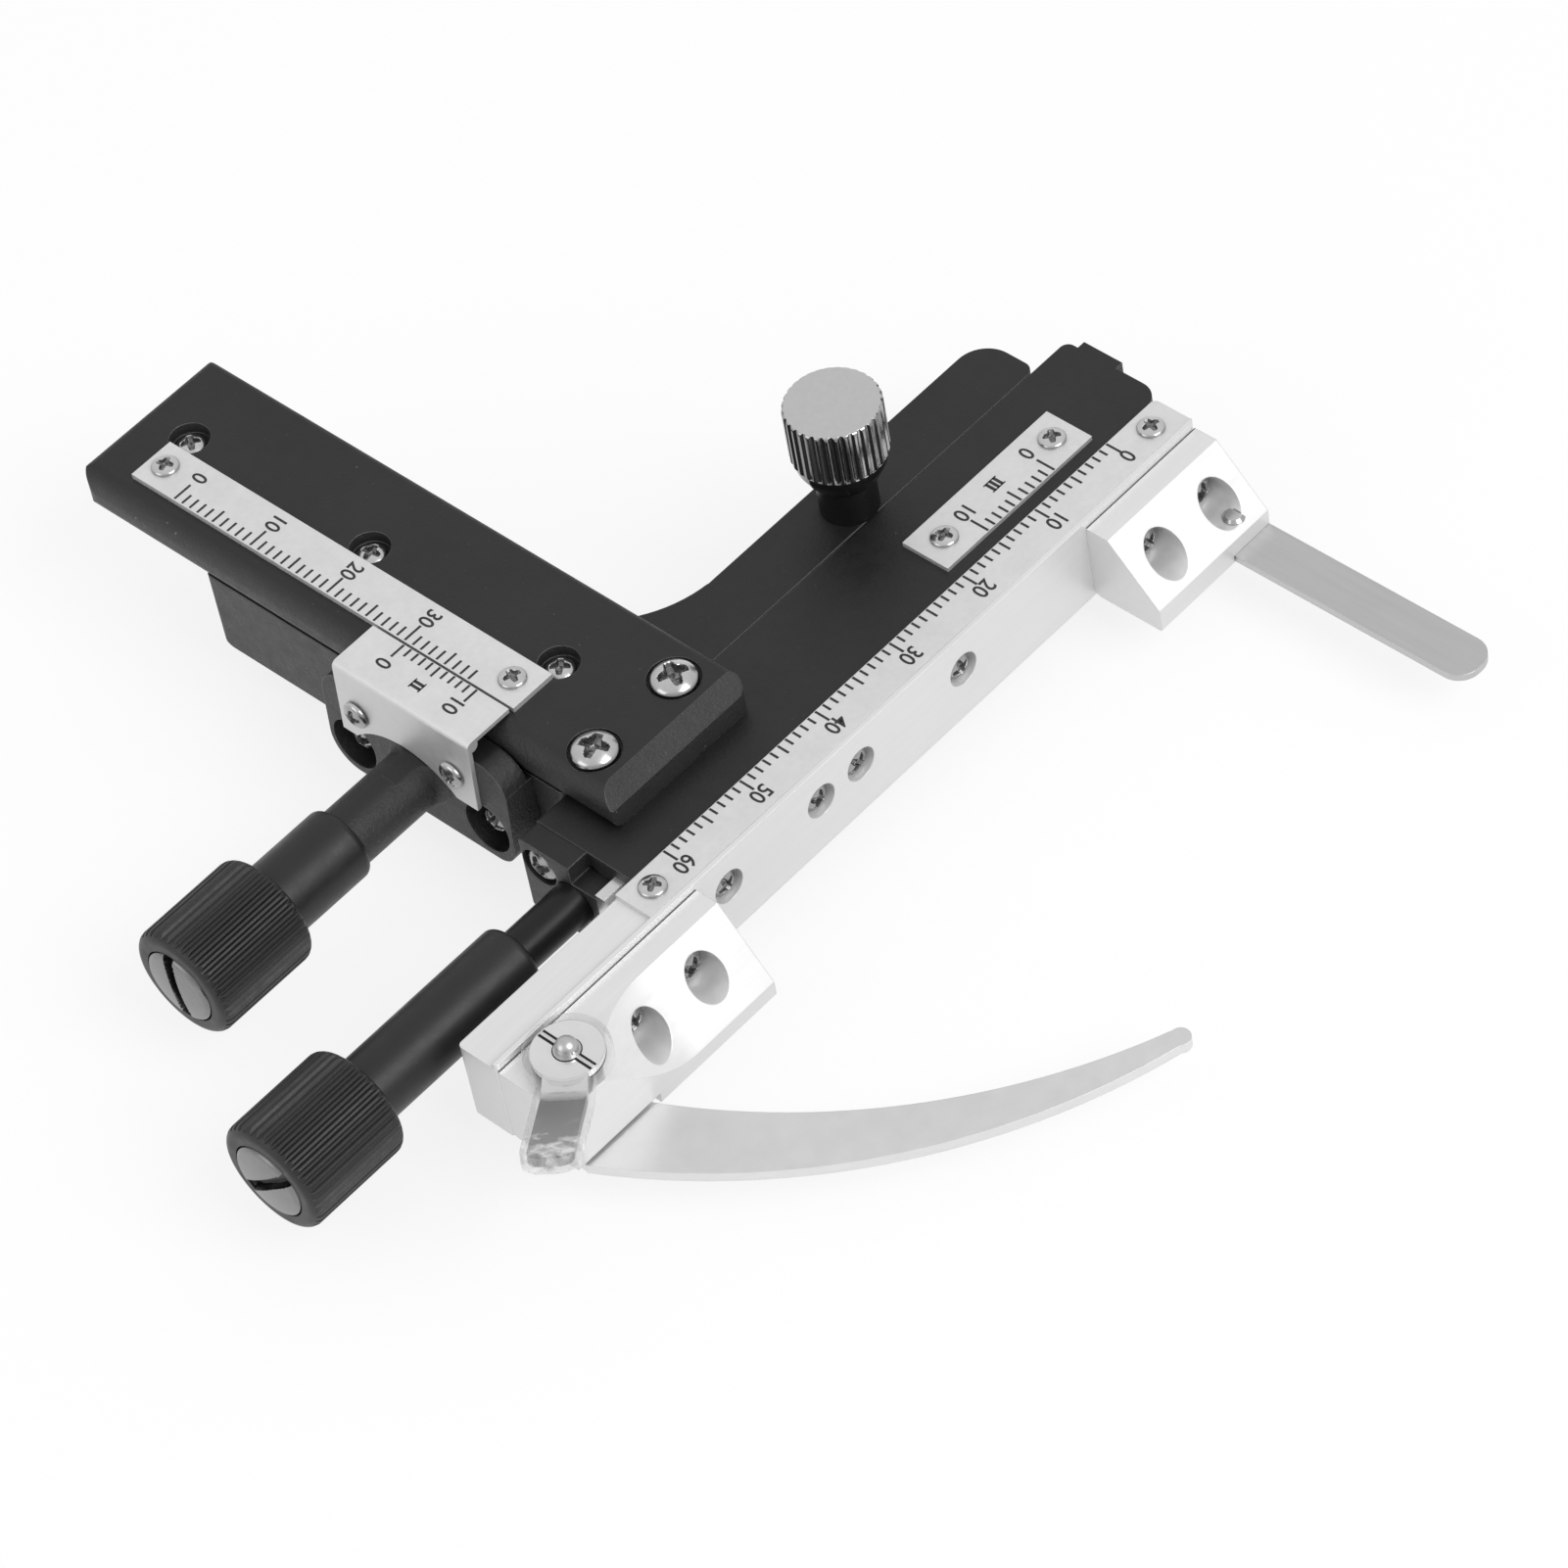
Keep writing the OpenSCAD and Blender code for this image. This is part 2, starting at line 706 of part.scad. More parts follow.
// Black sleeve on a knob: rounded open end at x1, closed end at x0
module knob_sleeve(x0, x1, y, z, r, bore, shaft_r, closed) {
    difference() {
        translate([x0, y, z])
            rotate([0, 90, 0])
                rotate_extrude()
                    round_rect([0, 0], [r, x1 - x0], [0, 0, 0.8, 0]);
        rod_x(x0 + closed, x1 + 1, y, z, bore);
        rod_x(x0 - 1, x1 + 1, y, z, shaft_r);
    }
}

module y_sleeve() {
    color(black)
        knob_sleeve(y_knob_rear, y_sleeve_start, y_axis_y, y_axis_z, y_sleeve_r, y_tube_r + run,
            y_shaft_r, 2.5);
}

// Ribbed knob whose front face is at x0, bored for its shaft and recessed for its end screw
module knob(x0, y, z, shaft_r) {
    difference() {
        translate([x0, y, z])
            rotate([0, 90, 0])
                ribbed_drum(knob_r, knob_len, knob_ribs, 1.0, 0.3);
        rod_x(x0 - 1, x0 + 1.2, y, z, end_screw_r + 0.12);
        rod_x(x0, x0 + knob_len + 1, y, z, shaft_r);
    }
}

// Slotted screw with a domed head that fills the recess in a knob's end
module knob_screw(x0, y, z, slot_turn) {
    dome = 0.55;
    dome_r = (end_screw_r * end_screw_r + dome * dome) / (2 * dome);
    difference() {
        union() {
            translate([x0 - dome, y, z])
                rotate([0, 90, 0])
                    rotate_extrude()
                        intersection() {
                            square([end_screw_r, dome + 1.2]);
                            translate([0, dome_r])
                                circle(dome_r, $fn = 200);
                        }
            rod_x(x0 + 1, x0 + 5.8, y, z, 0.95);
        }
        translate([x0 - 1, y, z])
            rotate([slot_turn, 0, 0])
                translate([0, -end_screw_r - 1, -0.35])
                    cube([1.3, 2 * end_screw_r + 2, 0.7]);
    }
}

module y_knob() {
    color(black)
        knob(knob_front_y, y_axis_y, y_axis_z, y_shaft_r);
}

module y_knob_screw() {
    color(black)
        knob_screw(knob_front_y, y_axis_y, y_axis_z, 118);
}

module arm_outline() {
    round_rect([arm_left, arm_front], [arm_right, arm_rear], [0.3, 1.1, 1.4, 2.4]);
}

module arm_plate() {
    color(casting)
        difference() {
            intersection() {
                along_z(arm_z, arm_top)
                    arm_outline();
                along_y(arm_front, arm_rear)
                    round_rect([arm_left, arm_z], [arm_right, arm_top], [1.5, 0, 0.7, arm_edge_r]);
                along_x(arm_left, arm_right)
                    difference() {
                        round_rect([arm_front, arm_z], [arm_rear, arm_top], [0, 0, 0.9, 0]);
                        polygon([
                            [arm_front - 1, arm_top - arm_bevel - 1],
                            [arm_front - 1, arm_top + 1],
                            [arm_front + arm_bevel + 1, arm_top + 1]
                        ]);
                    }
            }
            for (y = rack_screw_y) {
                rod_z(arm_top - rack_screw_sink, arm_top + 1, arm_mid, y, 2.0);
                rod_z(arm_z - 1, arm_top, arm_mid, y, 1.0);
            }
            for (s = [-1, 1]) {
                rod_z(arm_top - arm_screw_sink, arm_top + 1, arm_screw_x + s * arm_screw_pitch / 2, arm_screw_y,
                    arm_screw_r + 0.25);
                rod_z(arm_z - 1, arm_top, arm_screw_x + s * arm_screw_pitch / 2, arm_screw_y, 1.5);
            }
            for (y = y_ruler_screw_y())
                rod_z(arm_top - 2.5, arm_top + 1, y_ruler_x + y_ruler_w / 2, y, 0.8);
        }
}

function y_ruler_screw_y() = [y_ruler_y + 2.5, y_ruler_y + y_ruler_len - 2.0];

module rack_bar() {
    color(steel)
        difference() {
            along_y(rack_front, rack_rear)
                dovetail_section(0);
            difference() {
                along_x(rack_left, rack_left + rack_teeth_w)
                    translate([rack_front - 1, dovetail_z - 1])
                        square([rack_rear - rack_front + 2, rack_tip + rack_root + 1]);
                along_x(rack_left, rack_left + rack_teeth_w)
                    rack_outline();
            }
            for (y = rack_screw_y)
                rod_z(dovetail_z - 1, arm_z + 1, arm_mid, y, 0.9);
        }
}

module rack_screws() {
    color(chrome)
        for (y = rack_screw_y)
            translate([arm_mid, y, arm_top - rack_screw_sink])
                pan_screw(1.5, 1.0, 0.85, arm_top - rack_screw_sink - dovetail_z - 0.3);
}

module y_ruler() {
    color(bare)
        difference() {
            along_z(arm_top, arm_top + ruler_t)
                translate([y_ruler_x, y_ruler_y])
                    square([y_ruler_w, y_ruler_len]);
            for (y = y_ruler_screw_y())
                rod_z(arm_top - 1, arm_top + 2, y_ruler_x + y_ruler_w / 2, y, 0.9);
        }
}

module y_ruler_screws() {
    color(chrome)
        for (y = y_ruler_screw_y())
            translate([y_ruler_x + y_ruler_w / 2, y, arm_top + ruler_t])
                pan_screw(1.35, 0.65, 0.75, 2.6);
}

module guide_outline() {
    difference() {
        round_rect([guide_left, guide_front], [guide_right, guide_back], [0.3, 2.2, 0.9, 0]);
    }
    translate([guide_right - 1, x_axis_y + 0.05])
        square([1.9, 4.65]);
}

module guide_block() {
    screw_x = [for (s = [-1, 1]) arm_screw_x + s * arm_screw_pitch / 2];
    color(casting)
        difference() {
            along_z(stage_gap + 0.1, guide_top)
                guide_outline();
            along_x(guide_left - 1, guide_right + 1)
                bar_section(run + seat);
            along_x(guide_left - 1, guide_right - 4)
                translate([rail_back, x_axis_z - 1.95])
                    square([4, 3.9]);
            rod_x(guide_left - 1, guide_right - 4.5, x_axis_y, x_axis_z, thread_r + 0.3);
            rod_x(guide_left, guide_right - 1.2, x_axis_y, x_axis_z, 1.2 + fit);
            for (x = screw_x)
                rod_z(arm_z - 5.5, arm_z + 1, x, arm_screw_y, 1.4);
            for (x = x_vernier_screw_x())
                rod_z(guide_top - 1.2, guide_top + 1, x, x_vernier_y + x_vernier_w / 2, 0.8);
            rod_x(guide_left - 1, guide_left + 5, -4.9, 6.9, 0.95);
        }
}

function x_vernier_screw_x() = [x_vernier_x + 2.7, x_vernier_x + x_vernier_len - 2.4];

module arm_screws() {
    color(chrome)
        for (s = [-1, 1])
            translate([arm_screw_x + s * arm_screw_pitch / 2, arm_screw_y, arm_top - arm_screw_sink])
                pan_screw(arm_screw_r, 1.6, 1.35, arm_top - arm_screw_sink - arm_z + 5);
}

module x_vernier() {
    color(bare)
        difference() {
            along_z(guide_top, guide_top + vernier_t)
                translate([x_vernier_x, x_vernier_y])
                    square([x_vernier_len, x_vernier_w]);
            for (x = x_vernier_screw_x())
                rod_z(guide_top - 1, guide_top + 2, x, x_vernier_y + x_vernier_w / 2, 0.9);
        }
}

module x_vernier_screws() {
    color(chrome)
        for (x = x_vernier_screw_x())
            translate([x, x_vernier_y + x_vernier_w / 2, guide_top + vernier_t])
                pan_screw(1.35, 0.65, 0.75, 1.6);
}

// Bearing plate on the guide's left end, cut away at the top over the shaft
module bearing_bracket() {
    color(casting)
        difference() {
            along_x(guide_left - bracket_t, guide_left)
                difference() {
                    round_rect([x_axis_y - 3.1, stage_gap + 0.1], [guide_back, guide_top], [0.6, 0.4, 0.3, 0]);
                    translate([x_axis_y - 5, x_axis_z + 2.3])
                        square([5, 9]);
                }
            rod_x(guide_left - 9, guide_left + 9, x_axis_y, x_axis_z, x_shaft_r + fit);
            rod_x(guide_left - 9, guide_left - bracket_t + 0.9, -4.9, 6.9, 2.05);
            rod_x(guide_left - 9, guide_left + 9, -4.9, 6.9, 1.05);
        }
}

module bearing_bracket_screw() {
    color(chrome)
        screw_left(guide_left - bracket_t + 0.9, -4.9, 6.9, 1.9, 1.1, 0.9, 6);
}

// Lead screw: plain shaft on the left, coarse thread (drawn over its crests) inside the guide,
// journal on the right
module lead_screw() {
    x0 = guide_left + 0.4;
    x1 = guide_right - 5;
    color(steel)
        difference() {
            union() {
                rod_x(knob_front_x + 1.2, x0 + 0.5, x_axis_y, x_axis_z, x_shaft_r);
                rod_x(x0, x1, x_axis_y, x_axis_z, thread_r);
                rod_x(x1 - 1, guide_right - 1.5, x_axis_y, x_axis_z, 1.2);
            }
            rod_x(knob_front_x, knob_front_x + 6, x_axis_y, x_axis_z, 1.0);
        }
}

module x_sleeve() {
    color(black)
        knob_sleeve(x_knob_rear, x_sleeve_start, x_axis_y, x_axis_z, x_sleeve_r, x_shaft_r + seat,
            x_shaft_r + seat / 2, 5);
}

module x_knob() {
    color(black)
        knob(knob_front_x, x_axis_y, x_axis_z, x_shaft_r + seat / 2);
}

module x_knob_screw() {
    color(black)
        knob_screw(knob_front_x, x_axis_y, x_axis_z, 22);
}

function clip_jaw_screw_x() = [for (s = [-1, 1]) -50.9 + s * jaw_screw_pitch / 2];
function fixed_jaw_screw_x() = [for (s = [-1, 1]) fixed_jaw_left + fixed_jaw_w / 2 + 0.2
    + s * jaw_screw_pitch / 2];

module rail() {
    color(bare)
        difference() {
            along_z(stage_gap, rail_lip_top)
                round_rect([rail_left, rail_front], [rail_right, rail_back], [0.3, 0.8, 0.8, 0.5]);
            along_x(rail_left - 1, rail_right + 1)
                translate([rail_front + lip_w, rail_top])
                    square([rail_w, 2]);
            for (x = rail_screw_x) {
                rod_y(rail_front - 1, rail_front + rail_screw_sink, x, rail_screw_z, 1.75);
                rod_y(rail_front, rail_back + 1, x, rail_screw_z, 1.0);
            }
            for (x = concat(clip_jaw_screw_x(), fixed_jaw_screw_x()))
                rod_y(rail_front - 1, rail_back - 0.8, x, jaw_screw_z, 1.0);
            for (x = x_ruler_screw_x())
                rod_z(rail_top - 2.2, rail_top + 1, x, x_ruler_mid(), 0.8);
        }
}

function x_ruler_screw_x() = [x_ruler_left + 2.6, 22.9];
function x_ruler_mid() = (rail_front + lip_w + rail_back) / 2;

module x_ruler() {
    color(bare)
        difference() {
            along_z(rail_top, rail_top + ruler_t)
                round_rect([x_ruler_left, rail_front + lip_w], [rail_right - 0.15, rail_back],
                    [0, 0, 0.6, 0]);
            for (x = x_ruler_screw_x())
                rod_z(rail_top - 1, rail_top + 2, x, x_ruler_mid(), 0.9);
        }
}

module x_ruler_screws() {
    color(chrome)
        for (x = x_ruler_screw_x())
            translate([x, x_ruler_mid(), rail_top + ruler_t])
                pan_screw(1.35, 0.65, 0.75, 2.6);
}

// Dovetail bar behind the rail with the half nut that rides on the lead screw
module slide_bar() {
    x1 = slide_bar_left + slide_bar_len;
    nut_left = slide_bar_left + 8.5;
    nut_len = 7.0;
    color(steel)
        difference() {
            union() {
                along_x(slide_bar_left, x1)
                    bar_section(0);
                along_x(nut_left, nut_left + nut_len)
                    translate([rail_back + 2, x_axis_z - 1.75])
                        square([2.0, 3.5]);
            }
            rod_x(nut_left - 1, x1 + 1, x_axis_y, x_axis_z, thread_r + 0.08);
            for (x = rail_screw_x)
                rod_y(rail_back - 1, rail_back + 2, x, rail_screw_z, 0.95);
        }
}

module slide_bar_screws() {
    color(chrome)
        for (x = rail_screw_x)
            screw_front(x, rail_front + rail_screw_sink, rail_screw_z, 1.5, 1.0, 0.9,
                rail_w - rail_screw_sink + 1.8);
}

// Run of a jaw's slope for each millimetre that it falls, by the height of the lip below it
function slope_k(lip) = slope_run / (jaw_top - jaw_bottom - lip);

// The waste above a jaw's slope, as a Y-Z outline
module slope_waste(lip) {
    y0 = rail_front - jaw_top_depth;
    k = slope_k(lip);
    polygon([
        [y0 + k, jaw_top + 1],
        [jaw_front - 20, jaw_top + 1],
        [jaw_front - 20, jaw_bottom + lip - 1],
        [jaw_front - k, jaw_bottom + lip - 1]
    ]);
}

module jaw_section() {
    round_rect([jaw_front, jaw_bottom], [rail_front, jaw_top], [0.2, 0.8, 0, 0]);
}

// Counterbored holes that hold a jaw to the rail
module jaw_holes(places) {
    for (x = places) {
        rod_y(jaw_front - 9, rail_front - 2.6, x, jaw_screw_z, 2.0);
        rod_y(jaw_front - 9, rail_front + 1, x, jaw_screw_z, 1.1);
    }
}

module jaw_screws(places) {
    for (x = places)
        screw_front(x, rail_front - 2.6, jaw_screw_z, 1.7, 1.2, 0.95, 2.6 + rail_w - 1.2);
}

module fixed_jaw() {
    x1 = fixed_jaw_left + fixed_jaw_w;
    color(bare)
        difference() {
            along_x(fixed_jaw_left, x1)
                difference() {
                    jaw_section();
                    slope_waste(jaw_lip_h);
                }
            jaw_holes(fixed_jaw_screw_x());
            along_z(-1, finger_top + 0.02)
                translate([x1 - finger_w - 0.1, jaw_front - 1])
                    square([finger_w + 1, 7.9]);
            for (p = finger_screws())
                rod_z(0, p[1] + fit, finger_screw_x(), p[0], finger_screw_r + 0.03);
        }
}

// Each finger screw's place along Y and the height of its end
function finger_screws() = [[jaw_front + 1.6, 4.2], [jaw_front + 4.9, 3.7]];
function finger_screw_x() = fixed_jaw_left + fixed_jaw_w - finger_w / 2 - 0.4;

module fixed_jaw_screws() {
    color(chrome)
        jaw_screws(fixed_jaw_screw_x());
}

module straight_finger() {
    x1 = fixed_jaw_left + fixed_jaw_w;
    color(steel)
        difference() {
            along_z(straight_z, finger_top)
                round_rect([x1 - finger_w, jaw_front - finger_len], [x1, jaw_front + 6.7],
                    [finger_tip_r, finger_tip_r, 0, 0]);
            for (p = finger_screws()) {
                rod_z(straight_z - 1, finger_top + 1, finger_screw_x(), p[0], finger_screw_r + 0.05);
                translate([finger_screw_x(), p[0], straight_z - 0.01])
                    cylinder(h = 0.72, r1 = 1.5, r2 = finger_screw_r + 0.05);
            }
        }
}

module straight_finger_screws() {
    x = finger_screw_x();
    color(chrome)
        for (p = finger_screws())
            difference() {
                union() {
                    translate([x, p[0], straight_z])
                        cylinder(h = 0.7, r1 = 1.45, r2 = finger_screw_r);
                    rod_z(straight_z, p[1], x, p[0], finger_screw_r);
                }
                translate([x - 2, p[0] - 0.18, straight_z - 1])
                    cube([4, 0.36, 1.3]);
            }
}

// Jaw that carries the clip: its slope ends on the left in part of a cone
module clip_jaw() {
    x1 = rail_left + clip_jaw_w;
    k = slope_k(clip_lip_h);
    scoop_x = rail_left + 15.5;
    scoop_y = rail_front - jaw_top_depth - scoop_r;
    scoop_low = jaw_bottom + clip_lip_h - 1;
    color(bare)
        difference() {
            along_x(rail_left, x1)
                jaw_section();
            along_x(scoop_x, x1 + 1)
                slope_waste(clip_lip_h);
            translate([scoop_x, scoop_y, scoop_low])
                cylinder(h = jaw_top + 1 - scoop_low, r1 = scoop_r - k * (jaw_top - scoop_low),
                    r2 = scoop_r + k);
            jaw_holes(clip_jaw_screw_x());
            along_z(-1, finger_top + 0.35)
                union() {
                    translate([pivot_x, pivot_y])
                        circle(hub_r() + 0.35);
                    translate([rail_left - 1, jaw_front - 1])
                        square([10.4 + 1, pivot_y - jaw_front + 2.5]);
                }
            rod_z(0, jaw_top + 1, pivot_x, pivot_y, stud_r + fit);
            rod_z(spring_z - 0.5, jaw_top + 1, pivot_x, pivot_y, spring_r + 0.55);
        }
}

function hub_r() = pivot_out - 0.6;

module clip_jaw_screws() {
    color(chrome)
        jaw_screws(clip_jaw_screw_x());
}

// Torsion spring round the stud: a wire of six sides swept along a helix
module clip_spring() {
    steps = 16 * spring_turns;
    sides = 6;
    points = [for (i = [0:steps]) for (j = [0:sides - 1])
        let (a = i * 360 / 16, b = j * 360 / sides)
        [
            pivot_x + (spring_r + spring_wire * cos(b)) * cos(a),
            pivot_y + (spring_r + spring_wire * cos(b)) * sin(a),
            spring_z + spring_pitch * i / 16 + spring_wire * sin(b)
        ]];
    walls = [for (i = [0:steps - 1]) for (j = [0:sides - 1])
        let (k = (j + 1) % sides)
        [i * sides + j, (i + 1) * sides + j, (i + 1) * sides + k, i * sides + k]];
    caps = [[for (j = [0:sides - 1]) j], [for (j = [sides - 1:-1:0]) steps * sides + j]];
    color(steel)
        polyhedron(points, concat(walls, caps));
}

module pivot_stud() {
    color(steel)
        union() {
            rod_z(finger_z, lever_z + lever_t + 0.1, pivot_x, pivot_y, stud_r);
            rod_z(jaw_top + 0.1, lever_z, pivot_x, pivot_y, 2.4);
            translate([pivot_x, pivot_y, 0])
                rotate_extrude()
                    intersection() {
                        square([1.05, stud_top]);
                        translate([0, stud_top - 1.1])
                            circle(1.1);
                    }
            intersection() {
                rod_z(lever_z, lever_z + lever_t - 0.05, pivot_x, pivot_y, 2.6);
                translate([pivot_x - 0.22, pivot_y - 3, lever_z])
                    cube([0.44, 6, lever_t]);
            }
        }
}

// Centre of the arc of radius r from a to b that bulges to the front left
function arc_centre(a, b, r) = (a + b) / 2
    + sqrt(r * r - pow(norm(b - a) / 2, 2)) * [a[1] - b[1], b[0] - a[0]] / norm(b - a);

module curved_outline() {
    tip_r = 1.0;
    tip = [pivot_x + 37.5, pivot_y - 36.1];
    root_outer = [pivot_x - 3.7, jaw_front];
    root_inner = [pivot_x + 4.83, jaw_front];
    outer = arc_centre(root_outer, tip + [0, -0.87], clip_outer_r);
    inner = arc_centre(root_inner, tip + [0, 1.05], clip_inner_r);
    difference() {
        intersection() {
            translate(outer)
                circle(clip_outer_r, $fn = 180);
            translate([root_outer[0] - 4, tip[1] - 3])
                square([tip[0] - root_outer[0] + 4, jaw_front - tip[1] + 3.1]);
        }
        translate(inner)
            circle(clip_inner_r, $fn = 180);
    }
    translate(tip)
        circle(tip_r);
    translate([pivot_x, pivot_y])
        circle(hub_r());
    polygon([
        root_outer,
        root_inner,
        [pivot_x + hub_r(), pivot_y],
        [pivot_x - hub_r(), pivot_y]
    ]);
}

module curved_finger() {
    color(steel)
        difference() {
            along_z(finger_z, finger_top)
                curved_outline();
            rod_z(finger_z - 1, finger_top + 1, pivot_x, pivot_y, stud_r);
        }
}

// Places what it holds at the lever's pivot, pointing along the lever
module lever_place() {
    translate([pivot_x, pivot_y, lever_z])
        rotate([0, 0, lever_angle])
            children();
}

// Raised tab that leaves the flat part of the lever
module raised_tab(w, length, t0, t1, end_r) {
    translate([lever_flat, 0, 0])
        rotate([0, -lever_rise, 0])
            along_z(t0, t1)
                round_rect([-0.25, -w / 2], [length, w / 2], [0, end_r, end_r, 0]);
}

module clip_lever() {
    color(chrome)
        difference() {
            lever_place() {
                cylinder(h = lever_t, r = lever_head_r);
                along_z(0, lever_t)
                    translate([0, -lever_w / 2])
                        square([lever_flat, lever_w]);
                raised_tab(lever_w, lever_tab, 0, lever_t, 1.2);
            }
            rod_z(lever_z - 1, lever_z + 2, pivot_x, pivot_y, stud_r);
            translate([pivot_x - 0.25, pivot_y - 2.7, lever_z - 1])
                cube([0.5, 5.4, 3]);
        }
}

module lever_sleeve() {
    w = lever_w + 2 * 0.6;
    color([0.85, 0.87, 0.88, 0.5])
        difference() {
            lever_place() {
                translate([0, 0, jaw_top + 0.1 - lever_z])
                    cylinder(h = lever_z + lever_t + 0.2 - jaw_top - 0.1, r = lever_head_r + sleeve_wall);
                along_z(-0.4, lever_t + 0.4)
                    translate([0, -w / 2])
                        square([lever_flat + 0.1, w]);
                raised_tab(w, lever_tab + 0.8, -0.4, lever_t + 0.4, 2.0);
            }
            lever_place() {
                translate([0, 0, -0.35])
                    cylinder(h = 4, r = lever_head_r);
                translate([0, 0, -3])
                    cylinder(h = 3, r = 2.6);
                along_z(0, lever_t)
                    translate([0, -lever_w / 2])
                        square([lever_flat, lever_w]);
                raised_tab(lever_w, lever_tab, 0, lever_t, 1.2);
            }
        }
}

base_casting();
clamp_collar();
locating_pins();
pinion_bracket();
pinion_bracket_screws();
y_vernier();
y_vernier_screws();
clamp_screw();
y_shaft();
y_pinion();
y_sleeve();
y_knob();
y_knob_screw();
arm_plate();
rack_bar();
rack_screws();
y_ruler();
y_ruler_screws();
guide_block();
arm_screws();
x_vernier();
x_vernier_screws();
bearing_bracket();
bearing_bracket_screw();
lead_screw();
x_sleeve();
x_knob();
x_knob_screw();
rail();
x_ruler();
x_ruler_screws();
slide_bar();
slide_bar_screws();
fixed_jaw();
fixed_jaw_screws();
straight_finger();
straight_finger_screws();
clip_jaw();
clip_jaw_screws();
clip_spring();
pivot_stud();
curved_finger();
clip_lever();
lever_sleeve();
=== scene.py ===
import math

import bmesh
import bpy
from mathutils import Matrix, Vector


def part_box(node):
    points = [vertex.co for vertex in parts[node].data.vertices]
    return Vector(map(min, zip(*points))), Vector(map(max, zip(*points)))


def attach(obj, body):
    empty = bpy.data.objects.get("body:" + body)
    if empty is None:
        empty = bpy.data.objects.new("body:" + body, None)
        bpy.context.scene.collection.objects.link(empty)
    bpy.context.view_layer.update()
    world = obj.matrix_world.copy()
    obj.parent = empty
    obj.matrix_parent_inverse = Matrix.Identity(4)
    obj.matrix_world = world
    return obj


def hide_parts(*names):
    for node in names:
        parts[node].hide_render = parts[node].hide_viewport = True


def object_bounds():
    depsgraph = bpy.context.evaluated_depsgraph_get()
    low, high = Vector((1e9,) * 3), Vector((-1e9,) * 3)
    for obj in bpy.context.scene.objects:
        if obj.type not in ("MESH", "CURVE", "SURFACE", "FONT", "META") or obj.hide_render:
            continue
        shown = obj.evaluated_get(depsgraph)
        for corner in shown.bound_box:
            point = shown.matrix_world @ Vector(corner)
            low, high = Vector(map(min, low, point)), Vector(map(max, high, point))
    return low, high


MM = 0.001


# Materials

# Sockets of a Mix node that mixes colours
MIX_FIRST, MIX_SECOND, MIX_RESULT = 6, 7, 2

# Noise scales, per metre
TONE_SCALE = 90
WAVE_SCALE = 300
FROST_SCALE = 620
SPOT_SCALE = 700
BRUSH_SCALE = 1500
INK_SCALE = 1800
DUST_SCALE = 2300
PIT_SCALE = 2600

BEVEL_SAMPLES = 6
# Width of the paler edge band: partly edge wear, partly a painted highlight
WORN_AND_LIT_WIDTH = 0.10 * MM


def new_material(name):
    """Empty node material; returns (material, nodes, links, principled, output)."""
    mat = bpy.data.materials.new(name)
    mat.use_nodes = True
    nodes = mat.node_tree.nodes
    links = mat.node_tree.links
    nodes.clear()
    out = nodes.new("ShaderNodeOutputMaterial")
    bsdf = nodes.new("ShaderNodeBsdfPrincipled")
    links.new(bsdf.outputs["BSDF"], out.inputs["Surface"])
    return mat, nodes, links, bsdf, out


def object_coords(nodes, links, scale=(1, 1, 1)):
    """Object coordinates in metres, stretched by scale."""
    coords = nodes.new("ShaderNodeTexCoord")
    mapping = nodes.new("ShaderNodeMapping")
    mapping.inputs["Scale"].default_value = scale
    links.new(coords.outputs["Object"], mapping.inputs["Vector"])
    return mapping.outputs["Vector"]


def noise(nodes, links, vector, scale, detail=3.0, rough=0.55):
    """Noise factor at a scale per metre."""
    tex = nodes.new("ShaderNodeTexNoise")
    tex.inputs["Scale"].default_value = scale
    tex.inputs["Detail"].default_value = detail
    tex.inputs["Roughness"].default_value = rough
    links.new(vector, tex.inputs["Vector"])
    return tex.outputs["Fac"]


def maths(nodes, links, operation, *operands):
    """Result of a Math node; each operand is a socket or a number."""
    node = nodes.new("ShaderNodeMath")
    node.operation = operation
    for index, operand in enumerate(operands):
        if isinstance(operand, float):
            node.inputs[index].default_value = operand
        else:
            links.new(operand, node.inputs[index])
    return node.outputs[0]


def remap(nodes, links, value, low, high, src_low=0.3, src_high=0.7):
    """Value mapped from src_low..src_high, by default noise's middle range, to low..high."""
    node = nodes.new("ShaderNodeMapRange")
    node.inputs["From Min"].default_value = src_low
    node.inputs["From Max"].default_value = src_high
    node.inputs["To Min"].default_value = low
    node.inputs["To Max"].default_value = high
    links.new(value, node.inputs["Value"])
    return node.outputs["Result"]


def grey_ramp(nodes, links, value, low, high, tint=(1.0, 1.0, 1.0)):
    """Colour that runs between two greys over value's middle range."""
    ramp = nodes.new("ShaderNodeValToRGB")
    for element, place, grey in zip(ramp.color_ramp.elements, (0.3, 0.7), (low, high)):
        element.position = place
        element.color = (grey * tint[0], grey * tint[1], grey * tint[2], 1)
    links.new(value, ramp.inputs["Fac"])
    return ramp.outputs["Color"]


def edge_normal(nodes, radius):
    """Normal that rounds sharp edges by a radius in metres."""
    bevel = nodes.new("ShaderNodeBevel")
    bevel.samples = BEVEL_SAMPLES
    bevel.inputs["Radius"].default_value = radius
    return bevel.outputs["Normal"]


def bump(nodes, links, height, strength, distance, normal=None):
    """Bumped normal."""
    node = nodes.new("ShaderNodeBump")
    node.inputs["Strength"].default_value = strength
    node.inputs["Distance"].default_value = distance
    links.new(height, node.inputs["Height"])
    if normal is not None:
        links.new(normal, node.inputs["Normal"])
    return node.outputs["Normal"]


